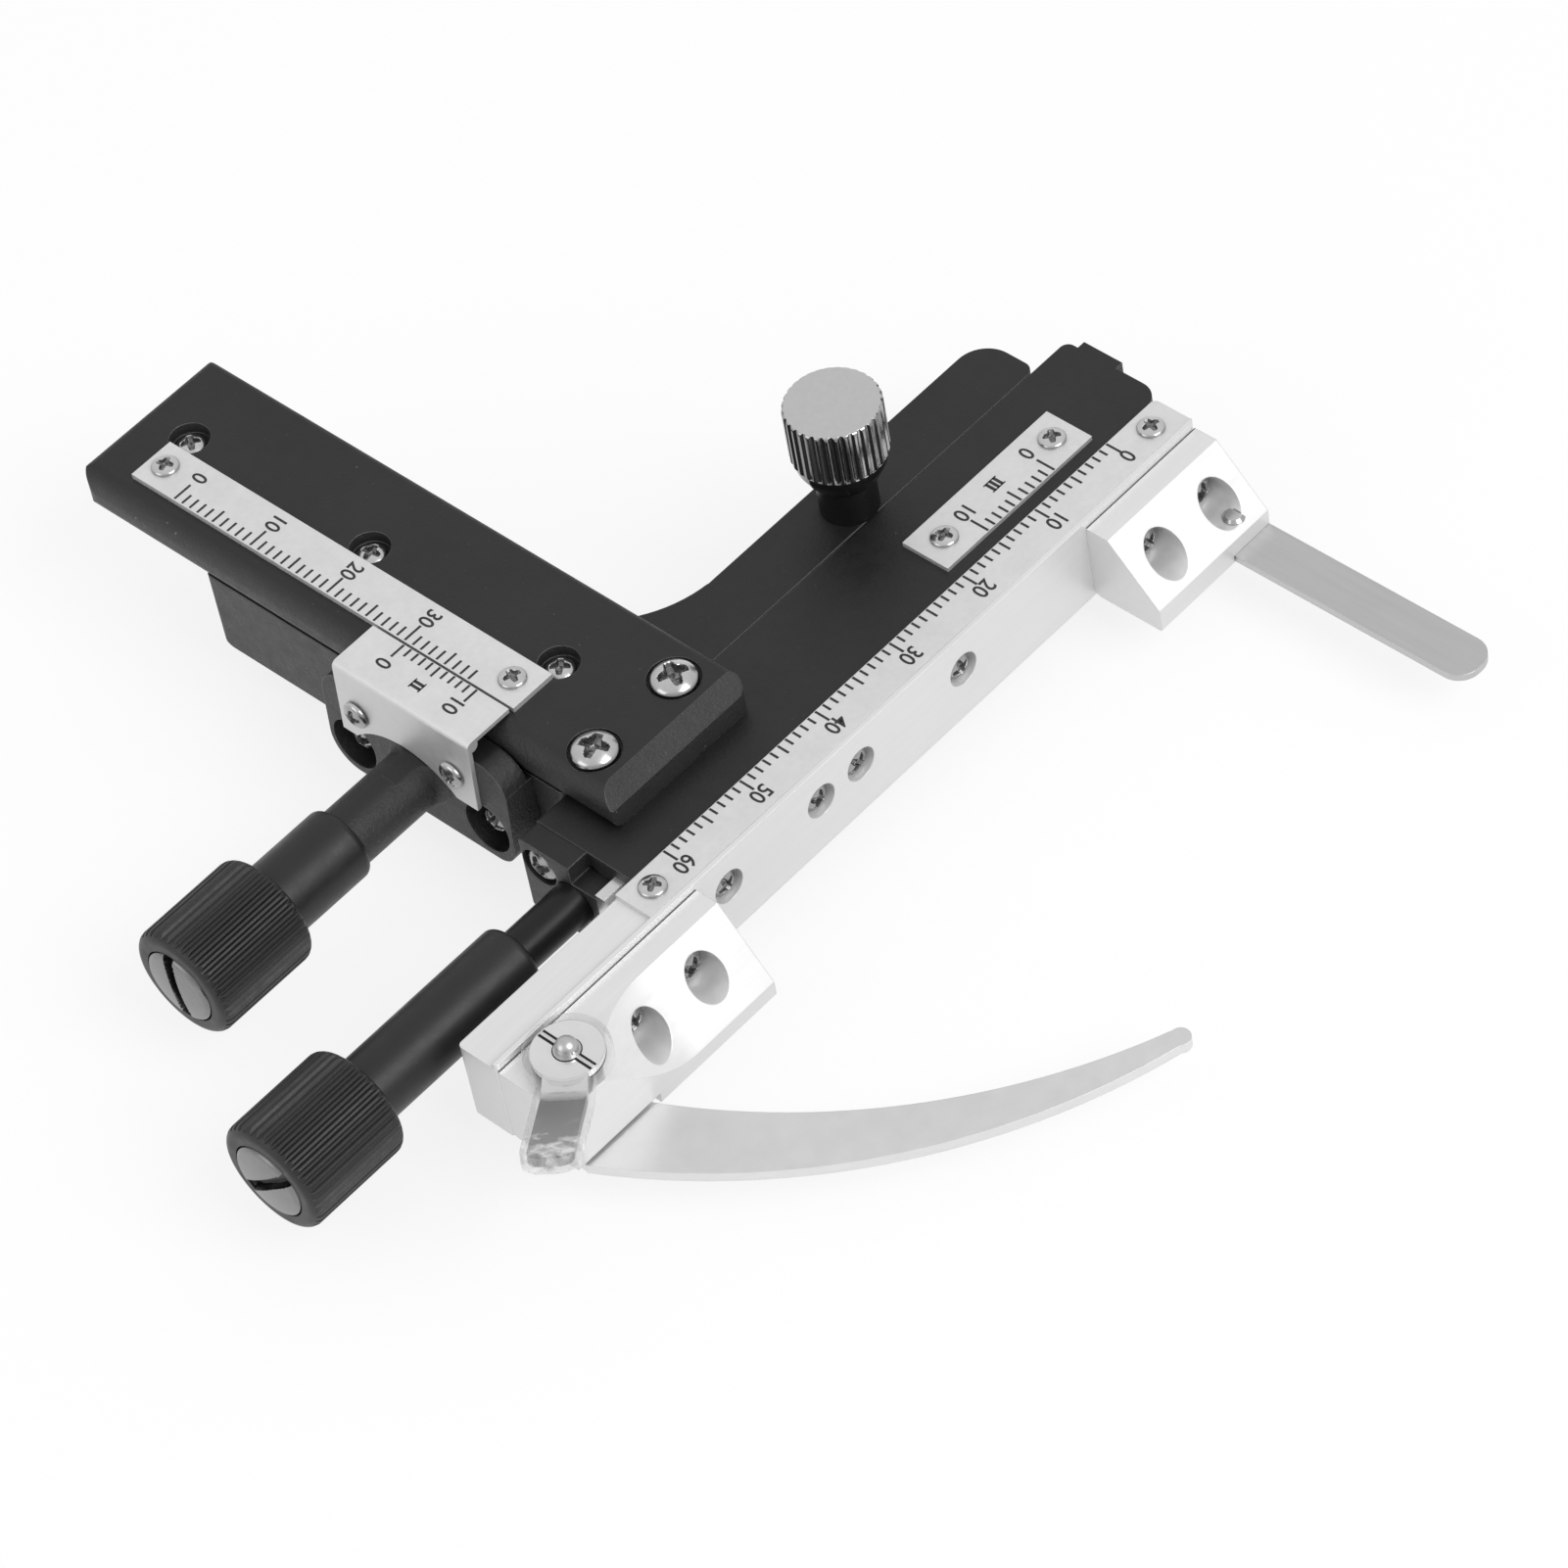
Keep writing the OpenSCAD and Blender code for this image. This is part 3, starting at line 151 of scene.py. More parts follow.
def edge_mask(nodes, links, radius):
    """0 on flats and 1 along sharp edges, in a band of a radius in metres."""
    geometry = nodes.new("ShaderNodeNewGeometry")
    dot = nodes.new("ShaderNodeVectorMath")
    dot.operation = "DOT_PRODUCT"
    links.new(edge_normal(nodes, radius), dot.inputs[0])
    links.new(geometry.outputs["Normal"], dot.inputs[1])
    return remap(nodes, links, dot.outputs["Value"], 1.0, 0.0, 0.80, 0.985)


def mix_colour(nodes, links, factor, first, second):
    """Colour between two, each a socket or a grey value."""
    mix = nodes.new("ShaderNodeMix")
    mix.data_type = "RGBA"
    links.new(factor, mix.inputs["Factor"])
    for index, colour in ((MIX_FIRST, first), (MIX_SECOND, second)):
        if isinstance(colour, float):
            mix.inputs[index].default_value = (colour, colour, colour, 1)
        else:
            links.new(colour, mix.inputs[index])
    return mix.outputs[MIX_RESULT]


def flatness(nodes, links):
    """1 on faces that look straight up or down and 0 on upright ones."""
    geometry = nodes.new("ShaderNodeNewGeometry")
    split = nodes.new("ShaderNodeSeparateXYZ")
    links.new(geometry.outputs["Normal"], split.inputs["Vector"])
    return maths(nodes, links, "ABSOLUTE", split.outputs["Z"])


def coated(name, low, high, rough, grain_scale, grain_depth, edge=0.25, spec=0.5, worn_and_lit=0.05,
           specks=0.05, pitted=0.0):
    """Paint or moulded plastic with a fine grain, paler edges that are partly wear and partly a
    painted highlight, and a few pale specks.

    pitted adds a coarser grain, in metres, to all faces that aren't level."""
    mat, nodes, links, bsdf, _ = new_material(name)
    vec = object_coords(nodes, links)
    body = grey_ramp(nodes, links, noise(nodes, links, vec, TONE_SCALE, 4), low, high)
    dust = remap(nodes, links, noise(nodes, links, vec, DUST_SCALE, 2), 0.0, 1.0, 0.74, 0.80)
    dusty = mix_colour(nodes, links, dust, body, specks)
    # Paler edges: partly edge wear, partly a painted highlight of edges catching light
    worn_and_lit_edges = edge_mask(nodes, links, WORN_AND_LIT_WIDTH)
    links.new(mix_colour(nodes, links, worn_and_lit_edges, dusty, worn_and_lit), bsdf.inputs["Base Color"])
    spots = noise(nodes, links, vec, SPOT_SCALE, 3)
    links.new(remap(nodes, links, spots, rough - 0.05, rough + 0.06), bsdf.inputs["Roughness"])
    bsdf.inputs["Specular IOR Level"].default_value = spec
    grain = noise(nodes, links, vec, grain_scale, 4, 0.6)
    normal = bump(nodes, links, grain, 1.0, grain_depth, edge_normal(nodes, edge * MM))
    if pitted:
        upright = remap(nodes, links, flatness(nodes, links), 1.0, 0.0, 0.9, 0.99)
        pits = noise(nodes, links, vec, PIT_SCALE, 4, 0.7)
        coarse = maths(nodes, links, "MULTIPLY", pits, upright)
        normal = bump(nodes, links, coarse, 1.0, pitted, normal)
    links.new(normal, bsdf.inputs["Normal"])
    return mat


def metal(name, low, high, rough, brush=(1, 1, 1), brush_depth=0.000004, edge=0.12,
          tint=(1, 1, 1), cloud=40.0, metallic=1.0):
    """Metal with brushed lines along the axis whose brush scale is smallest."""
    mat, nodes, links, bsdf, _ = new_material(name)
    bsdf.inputs["Metallic"].default_value = metallic
    vec = object_coords(nodes, links)
    lines = noise(nodes, links, object_coords(nodes, links, brush), BRUSH_SCALE, 3, 0.6)
    broad = noise(nodes, links, vec, cloud, 3)
    half_broad = maths(nodes, links, "MULTIPLY", broad, 0.5)
    tone = maths(nodes, links, "MULTIPLY_ADD", lines, 0.5, half_broad)
    links.new(grey_ramp(nodes, links, tone, low, high, tint), bsdf.inputs["Base Color"])
    links.new(remap(nodes, links, tone, rough - 0.05, rough + 0.07), bsdf.inputs["Roughness"])
    normal = bump(nodes, links, lines, 0.6, brush_depth, edge_normal(nodes, edge * MM))
    links.new(normal, bsdf.inputs["Normal"])
    return mat


def ink(name):
    """Black print on the scales, slightly uneven."""
    mat, nodes, links, bsdf, _ = new_material(name)
    tone = noise(nodes, links, object_coords(nodes, links), INK_SCALE, 3)
    links.new(grey_ramp(nodes, links, tone, 0.012, 0.035), bsdf.inputs["Base Color"])
    bsdf.inputs["Roughness"].default_value = 0.55
    return mat


def multiply_base(mat, shade):
    """Multiplies a material's base colour by what shade(nodes, links) gives."""
    nodes, links = mat.node_tree.nodes, mat.node_tree.links
    bsdf = next(n for n in nodes if n.type == "BSDF_PRINCIPLED")
    plain = bsdf.inputs["Base Color"].links[0].from_socket
    product = nodes.new("ShaderNodeMix")
    product.data_type = "RGBA"
    product.blend_type = "MULTIPLY"
    product.inputs["Factor"].default_value = 1.0
    links.new(plain, product.inputs[MIX_FIRST])
    links.new(shade(nodes, links), product.inputs[MIX_SECOND])
    links.new(product.outputs[MIX_RESULT], bsdf.inputs["Base Color"])


def tone_sides(mat, tone, steep=0.5, level=0.95):
    """Painted light and shade: multiplies the colour of upright faces by tone, darker below 1 and
    lighter above 1.

    The whole change is on faces flatter than steep, and none is left at level."""
    def shade(nodes, links):
        share = remap(nodes, links, flatness(nodes, links), 0.0, 1.0, steep, level)
        return mix_colour(nodes, links, share, tone, 1.0)
    multiply_base(mat, shade)


def tone_below(mat, height, tone):
    """Painted shade: multiplies the colour of everything below a height in millimetres by tone."""
    fade = 0.6

    def shade(nodes, links):
        coords = nodes.new("ShaderNodeTexCoord")
        split = nodes.new("ShaderNodeSeparateXYZ")
        links.new(coords.outputs["Object"], split.inputs["Vector"])
        above = remap(nodes, links, split.outputs["Z"], 0.0, 1.0, height * MM, (height + fade) * MM)
        return mix_colour(nodes, links, above, tone, 1.0)
    multiply_base(mat, shade)


def reach_along(nodes, links, start, direction):
    """Distance in millimetres from a start point (mm) along a flat direction."""
    coords = nodes.new("ShaderNodeTexCoord")
    shift = nodes.new("ShaderNodeVectorMath")
    shift.operation = "SUBTRACT"
    shift.inputs[1].default_value = (start[0] * MM, start[1] * MM, 0)
    links.new(coords.outputs["Object"], shift.inputs[0])
    dot = nodes.new("ShaderNodeVectorMath")
    dot.operation = "DOT_PRODUCT"
    dot.inputs[1].default_value = (direction[0] / MM, direction[1] / MM, 0)
    links.new(shift.outputs["Vector"], dot.inputs[0])
    return dot.outputs["Value"]


def clear_vinyl(name, start, direction):
    """Clear soft plastic: see-through, greyish at grazing angles, frosted towards its closed end."""
    frost_from, frost_to = 9.0, 12.5
    mat, nodes, links, bsdf, out = new_material(name)
    vec = object_coords(nodes, links)
    specks = noise(nodes, links, vec, FROST_SCALE, 3, 0.5)
    frost = remap(nodes, links, specks, 0.0, 1.0, 0.46, 0.66)
    reach = reach_along(nodes, links, start, direction)
    near_end = remap(nodes, links, reach, 0.0, 1.0, frost_from, frost_to)
    cloudy = maths(nodes, links, "MULTIPLY", frost, near_end)
    links.new(mix_colour(nodes, links, cloudy, 0.78, 0.90), bsdf.inputs["Base Color"])
    links.new(remap(nodes, links, frost, 0.16, 0.30, 0.0, 1.0), bsdf.inputs["Roughness"])
    waves = noise(nodes, links, vec, WAVE_SCALE, 2)
    links.new(bump(nodes, links, waves, 0.5, 0.00005), bsdf.inputs["Normal"])
    facing = nodes.new("ShaderNodeLayerWeight")
    facing.inputs["Blend"].default_value = 0.35
    veil = remap(nodes, links, facing.outputs["Facing"], 0.06, 0.60, 0.22, 0.9)
    clear = nodes.new("ShaderNodeBsdfTransparent")
    clear.inputs["Color"].default_value = (0.96, 0.96, 0.96, 1)
    mix = nodes.new("ShaderNodeMixShader")
    links.new(maths(nodes, links, "MULTIPLY_ADD", cloudy, 0.55, veil), mix.inputs["Fac"])
    links.new(clear.outputs["BSDF"], mix.inputs[1])
    links.new(bsdf.outputs["BSDF"], mix.inputs[2])
    links.new(mix.outputs["Shader"], out.inputs["Surface"])
    return mat


def lever_metal(name, start, direction):
    """Polished lever with painted shade and painted reflection along it: bright round head, dark where
    the tab bends up, mid grey towards its end.
    """
    mat = metal(name, 0.84, 0.90, 0.20, (0.5, 0.5, 1), 0.000002, edge=0.1, metallic=0.8)
    length = 16.0
    painted_shade_stops = ((0.0, 1.0), (0.28, 0.95), (0.36, 0.07), (0.46, 0.12), (0.80, 0.30), (1.0, 0.55))

    # Painted shade: the base colour darkens with the distance along the tab
    def shade(nodes, links):
        ramp = nodes.new("ShaderNodeValToRGB")
        while len(ramp.color_ramp.elements) < len(painted_shade_stops):
            ramp.color_ramp.elements.new(0.5)
        for element, (place, tone) in zip(ramp.color_ramp.elements, painted_shade_stops):
            element.position = place
            element.color = (tone, tone, tone, 1)
        reach = reach_along(nodes, links, start, direction)
        links.new(remap(nodes, links, reach, 0.0, 1.0, 0.0, length), ramp.inputs["Fac"])
        return ramp.outputs["Color"]

    multiply_base(mat, shade)
    return mat


# Mesh helpers; their lengths are in millimetres

def mesh_object(name, verts, faces, material, body):
    """New mesh piece that rides on a body."""
    mesh = bpy.data.meshes.new(name)
    mesh.from_pydata([Vector(v) * MM for v in verts], [], faces)
    mesh.validate()
    obj = bpy.data.objects.new(name, mesh)
    bpy.context.scene.collection.objects.link(obj)
    mesh.materials.append(material)
    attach(obj, body)
    return obj


def add_box(verts, faces, lo, hi):
    """Adds a box to vertex and face lists."""
    base = len(verts)
    for z in (lo[2], hi[2]):
        for y in (lo[1], hi[1]):
            for x in (lo[0], hi[0]):
                verts.append((x, y, z))
    for f in ((0, 2, 3, 1), (4, 5, 7, 6), (0, 1, 5, 4), (2, 6, 7, 3), (0, 4, 6, 2), (1, 3, 7, 5)):
        faces.append(tuple(base + i for i in f))


def plain_boxes(name, boxes, material, body):
    """One piece made of several boxes, each a pair of corners."""
    verts, faces = [], []
    for low_corner, high_corner in boxes:
        add_box(verts, faces, low_corner, high_corner)
    mesh_object(name, verts, faces, material, body)


def turned_ring(name, centre, radii, heights, material, body):
    """Ring of rectangular section round an upright axis."""
    sides = 64
    section = ((radii[0], heights[0]), (radii[1], heights[0]),
               (radii[1], heights[1]), (radii[0], heights[1]))
    corners = len(section)
    verts, faces = [], []
    for k in range(sides):
        angle = 2 * math.pi * k / sides
        for r, z in section:
            verts.append((centre[0] + r * math.cos(angle), centre[1] + r * math.sin(angle), z))
        here, there = k * corners, (k + 1) % sides * corners
        for j in range(corners):
            n = (j + 1) % corners
            faces.append((here + j, there + j, there + n, here + n))
    mesh_object(name, verts, faces, material, body)


def thread_ridge(name, body, material, root_r, crest_r, low_z, high_z, pitch):
    """Helical ridge round the Z axis that fades out over its first and last turn."""
    sides = 36
    sunk = 0.05
    foot, crest = 0.42, 0.06
    turns = (high_z - low_z) / pitch - 1
    steps = int(sides * turns)
    verts, faces = [], []
    for k in range(steps + 1):
        angle = 2 * math.pi * k / sides
        z = low_z + pitch / 2 + k * pitch / sides
        grow = min(1.0, k / sides, (steps - k) / sides) * (crest_r - root_r)
        for r, dz in ((root_r - sunk, -foot), (root_r + grow, -crest),
                      (root_r + grow, crest), (root_r - sunk, foot)):
            verts.append((r * math.cos(angle), r * math.sin(angle), z + dz * pitch))
    for k in range(steps):
        for j in range(4):
            n = (j + 1) % 4
            faces.append((4 * k + j, 4 * k + n, 4 * k + 4 + n, 4 * k + 4 + j))
    faces.append((3, 2, 1, 0))
    faces.append(tuple(4 * steps + j for j in range(4)))
    mesh_object(name, verts, faces, material, body)


def soften(obj, voxel, rounds):
    """Rounds a soft moulded piece by a remesh at a voxel size and rounds of smoothing."""
    remesh = obj.modifiers.new("remesh", "REMESH")
    remesh.mode = "VOXEL"
    remesh.voxel_size = voxel * MM
    remesh.use_smooth_shade = True
    smooth = obj.modifiers.new("smooth", "SMOOTH")
    smooth.factor = 0.5
    smooth.iterations = rounds


# Screws with domed heads and true recesses

HEAD_RINGS = 26
HEAD_SIDES = 72
DOME_EDGE = 0.985
ROUND_FROM = 0.88
RECESS_SHARE = 0.12
SHARP_ANGLE = 38


def loose_solids(node):
    """Points of each separate solid of a CAD node."""
    shape = bmesh.new()
    shape.from_mesh(parts[node].data)
    bmesh.ops.remove_doubles(shape, verts=shape.verts[:], dist=0.001 * MM)
    shape.verts.index_update()
    seen = set()
    solids = []
    for start in shape.verts:
        if start.index in seen:
            continue
        seen.add(start.index)
        queue = [start]
        points = []
        while queue:
            vert = queue.pop()
            points.append(vert.co / MM)
            for edge in vert.link_edges:
                other = edge.other_vert(vert)
                if other.index not in seen:
                    seen.add(other.index)
                    queue.append(other)
        solids.append(points)
    shape.free()
    return solids


def screw_sizes(points, outward):
    """Place and sizes of a screw whose head faces outward, read from its CAD solid."""
    turn = outward.to_track_quat("Z", "Y")
    local = [turn.inverted() @ p for p in points]
    mid = Vector([(min(p[i] for p in local) + max(p[i] for p in local)) / 2 for i in (0, 1)] + [0])
    local = [p - mid for p in local]
    spread = [math.hypot(p[0], p[1]) for p in local]
    head_r = max(spread)
    seat = min(p[2] for p, r in zip(local, spread) if r > 0.9 * head_r)
    below = [r for p, r in zip(local, spread) if p[2] < seat - 0.2]
    top = max(p[2] for p in local)
    end = min(p[2] for p in local)
    return turn, mid, head_r, seat, top, end, max(below) if below else 0.5 * head_r


def cross_depth(x, y, r):
    """Depth share of a cross recess in a head of radius r: four arms that widen and deepen inwards."""
    reach = 0.66 * r
    deepest = 0.0
    for along, across in ((abs(x), abs(y)), (abs(y), abs(x))):
        inwards = max(0.0, 1 - along / reach)
        half = 0.155 * r + 0.13 * r * inwards
        wall = min(1.0, (half - across) / (0.05 * r))
        tail = min(1.0, (reach - along) / (0.12 * r))
        slope = 0.40 + 0.60 * inwards
        deepest = max(deepest, max(0.0, wall) * max(0.0, tail) * slope)
    return deepest


def slot_depth(x, y, r):
    """Depth share of a straight slot right across a head of radius r."""
    return max(0.0, min(1.0, (0.145 * r - abs(x)) / (0.03 * r)))


def add_head(verts, faces, dark, sizes, spin, depth_of, depth, sag, finer):
    """Adds one detailed screw; lists the indices of the faces inside its recess, which get painted
    shade, in dark.
    """
    turn, mid, head_r, seat, top, end, shank_r = sizes
    high = top - seat
    sides, head_rings = HEAD_SIDES * finer, HEAD_RINGS * finer
    spin = Matrix.Rotation(spin, 3, "Z")
    base = len(verts)
    shares = []

    def add_ring(radius, height, cut=False):
        for k in range(sides):
            angle = 2 * math.pi * k / sides
            flat = Vector((radius * math.cos(angle), radius * math.sin(angle), 0))
            share = depth_of(flat[0], flat[1], head_r) if cut else 0.0
            shares.append(share)
            lift = Vector((0, 0, height - share * depth * high))
            verts.append(turn @ (spin @ flat + mid + lift))

    for k in range(1, head_rings + 1):
        part = k / head_rings * DOME_EDGE
        drop = sag * part * part + 0.10 * max(0.0, (part - ROUND_FROM) / 0.105) ** 2
        add_ring(part * head_r, top - drop * high, True)
    for radius, height in ((head_r, top - (sag + 0.22) * high), (head_r, seat + 0.04 * high),
                           (0.97 * head_r, seat), (shank_r, seat),
                           (shank_r, end + 0.25 * shank_r), (0.75 * shank_r, end)):
        add_ring(radius, height)
    rings = len(shares) // sides
    for ring in range(rings - 1):
        for k in range(sides):
            n = (k + 1) % sides
            inner, outer = base + ring * sides, base + (ring + 1) * sides
            if max(shares[ring * sides + k], shares[(ring + 1) * sides + n]) > RECESS_SHARE:
                dark.add(len(faces))
            faces.append((inner + k, outer + k, outer + n, inner + n))
    dark.add(len(faces))
    faces.append(tuple(base + k for k in range(sides)))
    last = base + (rings - 1) * sides
    faces.append(tuple(last + k for k in reversed(range(sides))))


def detailed_screws(node, body, outward, spins, materials, depth_of=cross_depth,
                    depth=0.8, sag=0.6, finer=1):
    """Replaces a CAD node's screws by detailed ones; materials are the head's and the recess's, the
    recess's being painted shade.
    """
    verts, faces, dark = [], [], set()
    for index, points in enumerate(loose_solids(node)):
        sizes = screw_sizes(points, Vector(outward))
        spin = math.radians(spins[index % len(spins)])
        add_head(verts, faces, dark, sizes, spin, depth_of, depth, sag, finer)
    obj = mesh_object(node + "_fine", verts, faces, materials[0], body)
    obj.data.materials.append(materials[1])
    for poly in obj.data.polygons:
        poly.use_smooth = True
        if poly.index in dark:
            poly.material_index = 1
    obj.data.set_sharp_from_angle(angle=math.radians(SHARP_ANGLE))
    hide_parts(node)


# Small pieces of the clip and the rail

FINGER_THICK = 0.7
DISC_THICK = 0.8
SLOT_END = 3.15
SLOT_GAP = 0.29
# Half width of the painted shadow strips beside the key
HALF_SHADOW = 0.13
HALF_KEY = 0.16
SUNK = 0.02
PROUD = 0.012


def pivot_key(material, dark):
    """Key through the lever's slotted head, proud of it, with painted shadow strips in dark beside it,
    a painted shadow ring round the stud and one round the foot of the lever's disc.
    """
    x, y = pivot[0], pivot[1]
    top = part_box("clip_jaw")[1][2] / MM + FINGER_THICK + DISC_THICK
    stud_r = max(math.hypot(v.co[0] / MM - x, v.co[1] / MM - y)
                 for v in parts["pivot_stud"].data.vertices if v.co[2] / MM > top - SUNK)
    disc_r = max(-(v.co[0] / MM - x) * lever_way[0] - (v.co[1] / MM - y) * lever_way[1]
                 for v in parts["clip_lever"].data.vertices)
    ends = ((stud_r - 0.1, SLOT_END), (-SLOT_END, 0.1 - stud_r))
    slot_shadows = [((x + s * SLOT_GAP - HALF_SHADOW, y + a, top - SUNK),
             (x + s * SLOT_GAP + HALF_SHADOW, y + b, top + PROUD)) for a, b in ends for s in (-1, 1)]
    plain_boxes("lever_slot_shadows", slot_shadows, dark, "clip")
    bars = [((x - HALF_KEY, y + a, top - 0.05), (x + HALF_KEY, y + b, top + 0.06)) for a, b in ends]
    plain_boxes("pivot_key", bars, material, "clip")
    turned_ring("stud_shadow", (x, y), (stud_r - 0.05, stud_r + 0.10), (top - SUNK, top + 0.014),
                dark, "clip")
    turned_ring("lever_foot_shadow", (x, y), (disc_r - 0.05, disc_r + 0.02), (top - 0.79, top - 0.64),
                dark, "clip")


def jaw_seams(dark):
    """Painted shadow: dark lines where the jaws' tops meet the raised lip of the rail."""
    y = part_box("rail")[0][1] / MM
    strips = []
    for jaw in ("fixed_jaw", "clip_jaw"):
        lo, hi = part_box(jaw)
        z = hi[2] / MM
        strips.append(((lo[0] / MM + 0.05, y - 0.11, z - SUNK),
                       (hi[0] / MM - 0.05, y - 0.01, z + PROUD)))
    plain_boxes("jaw_seams", strips, dark, "x_slide")


# Printed scales

PRINT_LIFT = 0.015
PRINT_DEPTH = 0.05
HALF_LINE = 0.125
VERNIER_PITCH = 0.92
NUMERAL_HEIGHT = 1.72
NUMERAL_WEIGHT = 0.032
NUMERAL_WIDTH = 0.86
FONT_SIZE_PER_HEIGHT = 1.37
ROMAN_HEIGHT = 1.3
ROMAN_PITCH = 0.5
ROMAN_HALF_BAR = 0.16
ROMAN_HALF_SERIF = 0.07


def glyph_mesh(text):
    """Outline numerals of generic shape as a flat mesh, centred on the origin; (verts, faces)."""
    curve = bpy.data.curves.new("glyphs", "FONT")
    curve.body = text
    curve.size = NUMERAL_HEIGHT * FONT_SIZE_PER_HEIGHT
    curve.align_x = "CENTER"
    curve.align_y = "CENTER"
    curve.offset = NUMERAL_WEIGHT
    curve.resolution_u = 5
    obj = bpy.data.objects.new("glyphs", curve)
    bpy.context.scene.collection.objects.link(obj)
    deps = bpy.context.evaluated_depsgraph_get()
    mesh = bpy.data.meshes.new_from_object(obj.evaluated_get(deps))
    verts = [tuple(v.co) for v in mesh.vertices]
    faces = [tuple(p.vertices) for p in mesh.polygons]
    bpy.data.objects.remove(obj)
    bpy.data.curves.remove(curve)
    bpy.data.meshes.remove(mesh)
    xs = [v[0] for v in verts]
    ys = [v[1] for v in verts]
    mid = ((min(xs) + max(xs)) / 2, (min(ys) + max(ys)) / 2)
    return [(v[0] - mid[0], v[1] - mid[1]) for v in verts], faces


def add_glyphs(verts, faces, text, centre, z):
    """Adds numerals that read towards -X, with their tops towards -Y."""
    flat, tris = glyph_mesh(text)
    base = len(verts)
    for x, y in flat:
        verts.append((centre[0] - x * NUMERAL_WIDTH, centre[1] - y, z))
    for f in tris:
        faces.append(tuple(base + i for i in f))


def tick_box(verts, faces, x0, x1, y0, y1, z):
    """Adds one printed line."""
    add_box(verts, faces, (min(x0, x1), min(y0, y1), z - PRINT_DEPTH), (max(x0, x1), max(y0, y1), z))


def add_numeral_bars(verts, faces, count, centre, z):
    """Roman numeral of plain bars with a line across both ends."""
    x, y = centre
    wide = ROMAN_PITCH * (count - 1) / 2 + 0.34
    for i in range(count):
        bar = x + (i - (count - 1) / 2) * ROMAN_PITCH
        tick_box(verts, faces, bar - ROMAN_HALF_BAR, bar + ROMAN_HALF_BAR,
                 y - ROMAN_HEIGHT / 2, y + ROMAN_HEIGHT / 2, z)
    for s in (-1, 1):
        line = y + s * (ROMAN_HEIGHT / 2 - 0.06)
        tick_box(verts, faces, x - wide, x + wide, line - ROMAN_HALF_SERIF, line + ROMAN_HALF_SERIF, z)


def line_length(mark, lengths):
    """Length of a graduation, from those of the tens, the fives and the others."""
    if mark % 10 == 0:
        return lengths[0]
    return lengths[1] if mark % 5 == 0 else lengths[2]


def cross_scale(material):
    """Graduations 0 to 60 on the cross ruler."""
    verts, faces = [], []
    zero = 19
    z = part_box("x_ruler")[1][2] / MM + PRINT_LIFT
    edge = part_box("x_ruler")[1][1] / MM - 0.08
    for t in range(61):
        length = line_length(t, (1.72, 1.35, 1.0))
        tick_box(verts, faces, zero - t - HALF_LINE, zero - t + HALF_LINE, edge, edge - length, z)
    for t in range(0, 61, 10):
        add_glyphs(verts, faces, str(t), (zero - t, -17.3), z)
    mesh_object("cross_scale_print", verts, faces, material, "x_slide")


def arm_scale(material):
    """Graduations 0 to 38 on the arm's ruler."""
    verts, faces = [], []
    zero = 48.4
    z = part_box("y_ruler")[1][2] / MM + PRINT_LIFT
    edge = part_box("y_ruler")[0][0] / MM + 0.16
    for t in range(39):
        length = line_length(t, (2.1, 1.6, 1.22))
        tick_box(verts, faces, edge, edge + length, zero - t - HALF_LINE, zero - t + HALF_LINE, z)
    for t in range(0, 31, 10):
        add_glyphs(verts, faces, str(t), (-35.7, 48.3 - t), z)
    mesh_object("arm_scale_print", verts, faces, material, "arm")


def cross_vernier(material):
    """Ten vernier divisions on the guide's plate."""
    verts, faces = [], []
    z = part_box("x_vernier")[1][2] / MM + PRINT_LIFT
    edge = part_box("x_vernier")[0][1] / MM + 0.06
    for t in range(11):
        length = line_length(t, (2.15, 1.75, 1.2))
        x = 13.8 - VERNIER_PITCH * t
        tick_box(verts, faces, x - HALF_LINE, x + HALF_LINE, edge, edge + length, z)
    add_glyphs(verts, faces, "0", (13.85, -9.5), z)
    add_glyphs(verts, faces, "10", (4.85, -9.75), z)
    add_numeral_bars(verts, faces, 3, (9.25, -9.6), z)
    mesh_object("cross_vernier_print", verts, faces, material, "arm")


def arm_vernier(material):
    """Ten vernier divisions on the bent plate."""
    verts, faces = [], []
    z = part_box("y_vernier")[1][2] / MM + PRINT_LIFT
    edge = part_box("y_vernier")[1][0] / MM - 0.06
    for t in range(11):
        length = line_length(t, (1.7, 1.3, 1.0))
        y = 17.9 - VERNIER_PITCH * t
        tick_box(verts, faces, edge, edge - length, y - HALF_LINE, y + HALF_LINE, z)
    add_glyphs(verts, faces, "0", (-42.15, 17.9), z)
    add_glyphs(verts, faces, "10", (-42.2, 9.15), z)
    add_numeral_bars(verts, faces, 2, (-42.25, 13.5), z)
    mesh_object("arm_vernier_print", verts, faces, material, "base")


# Stage and camera

FLOOR_HALF = 3.0
FLOOR_DROP = 0.0001
FLOOR_GLOW = 0.8
WORLD_STRENGTH = 0.70
LAMP_SIZE = 0.6
LAMP_TARGET = (-0.02, 0.0, 0.0)
PHOTO_WIDTH = 1601.0
FOCAL_PX = 7021.077
SENSOR_WIDTH = 36.0
CAMERA_PLACE = (-0.284156, -0.329201, 0.462910)
CAMERA_TURN = (41.07005, 7.39911, -47.77648)


def area_light(name, place, power):
    """Soft square lamp that faces the object; place is in metres."""
    data = bpy.data.lights.new(name, "AREA")
    data.energy = power
    data.shape = "RECTANGLE"
    data.size = LAMP_SIZE
    data.size_y = LAMP_SIZE
    obj = bpy.data.objects.new(name, data)
    bpy.context.scene.collection.objects.link(obj)
    obj.location = place
    way = Vector(LAMP_TARGET) - Vector(place)
    obj.rotation_euler = way.to_track_quat("-Z", "Y").to_euler()


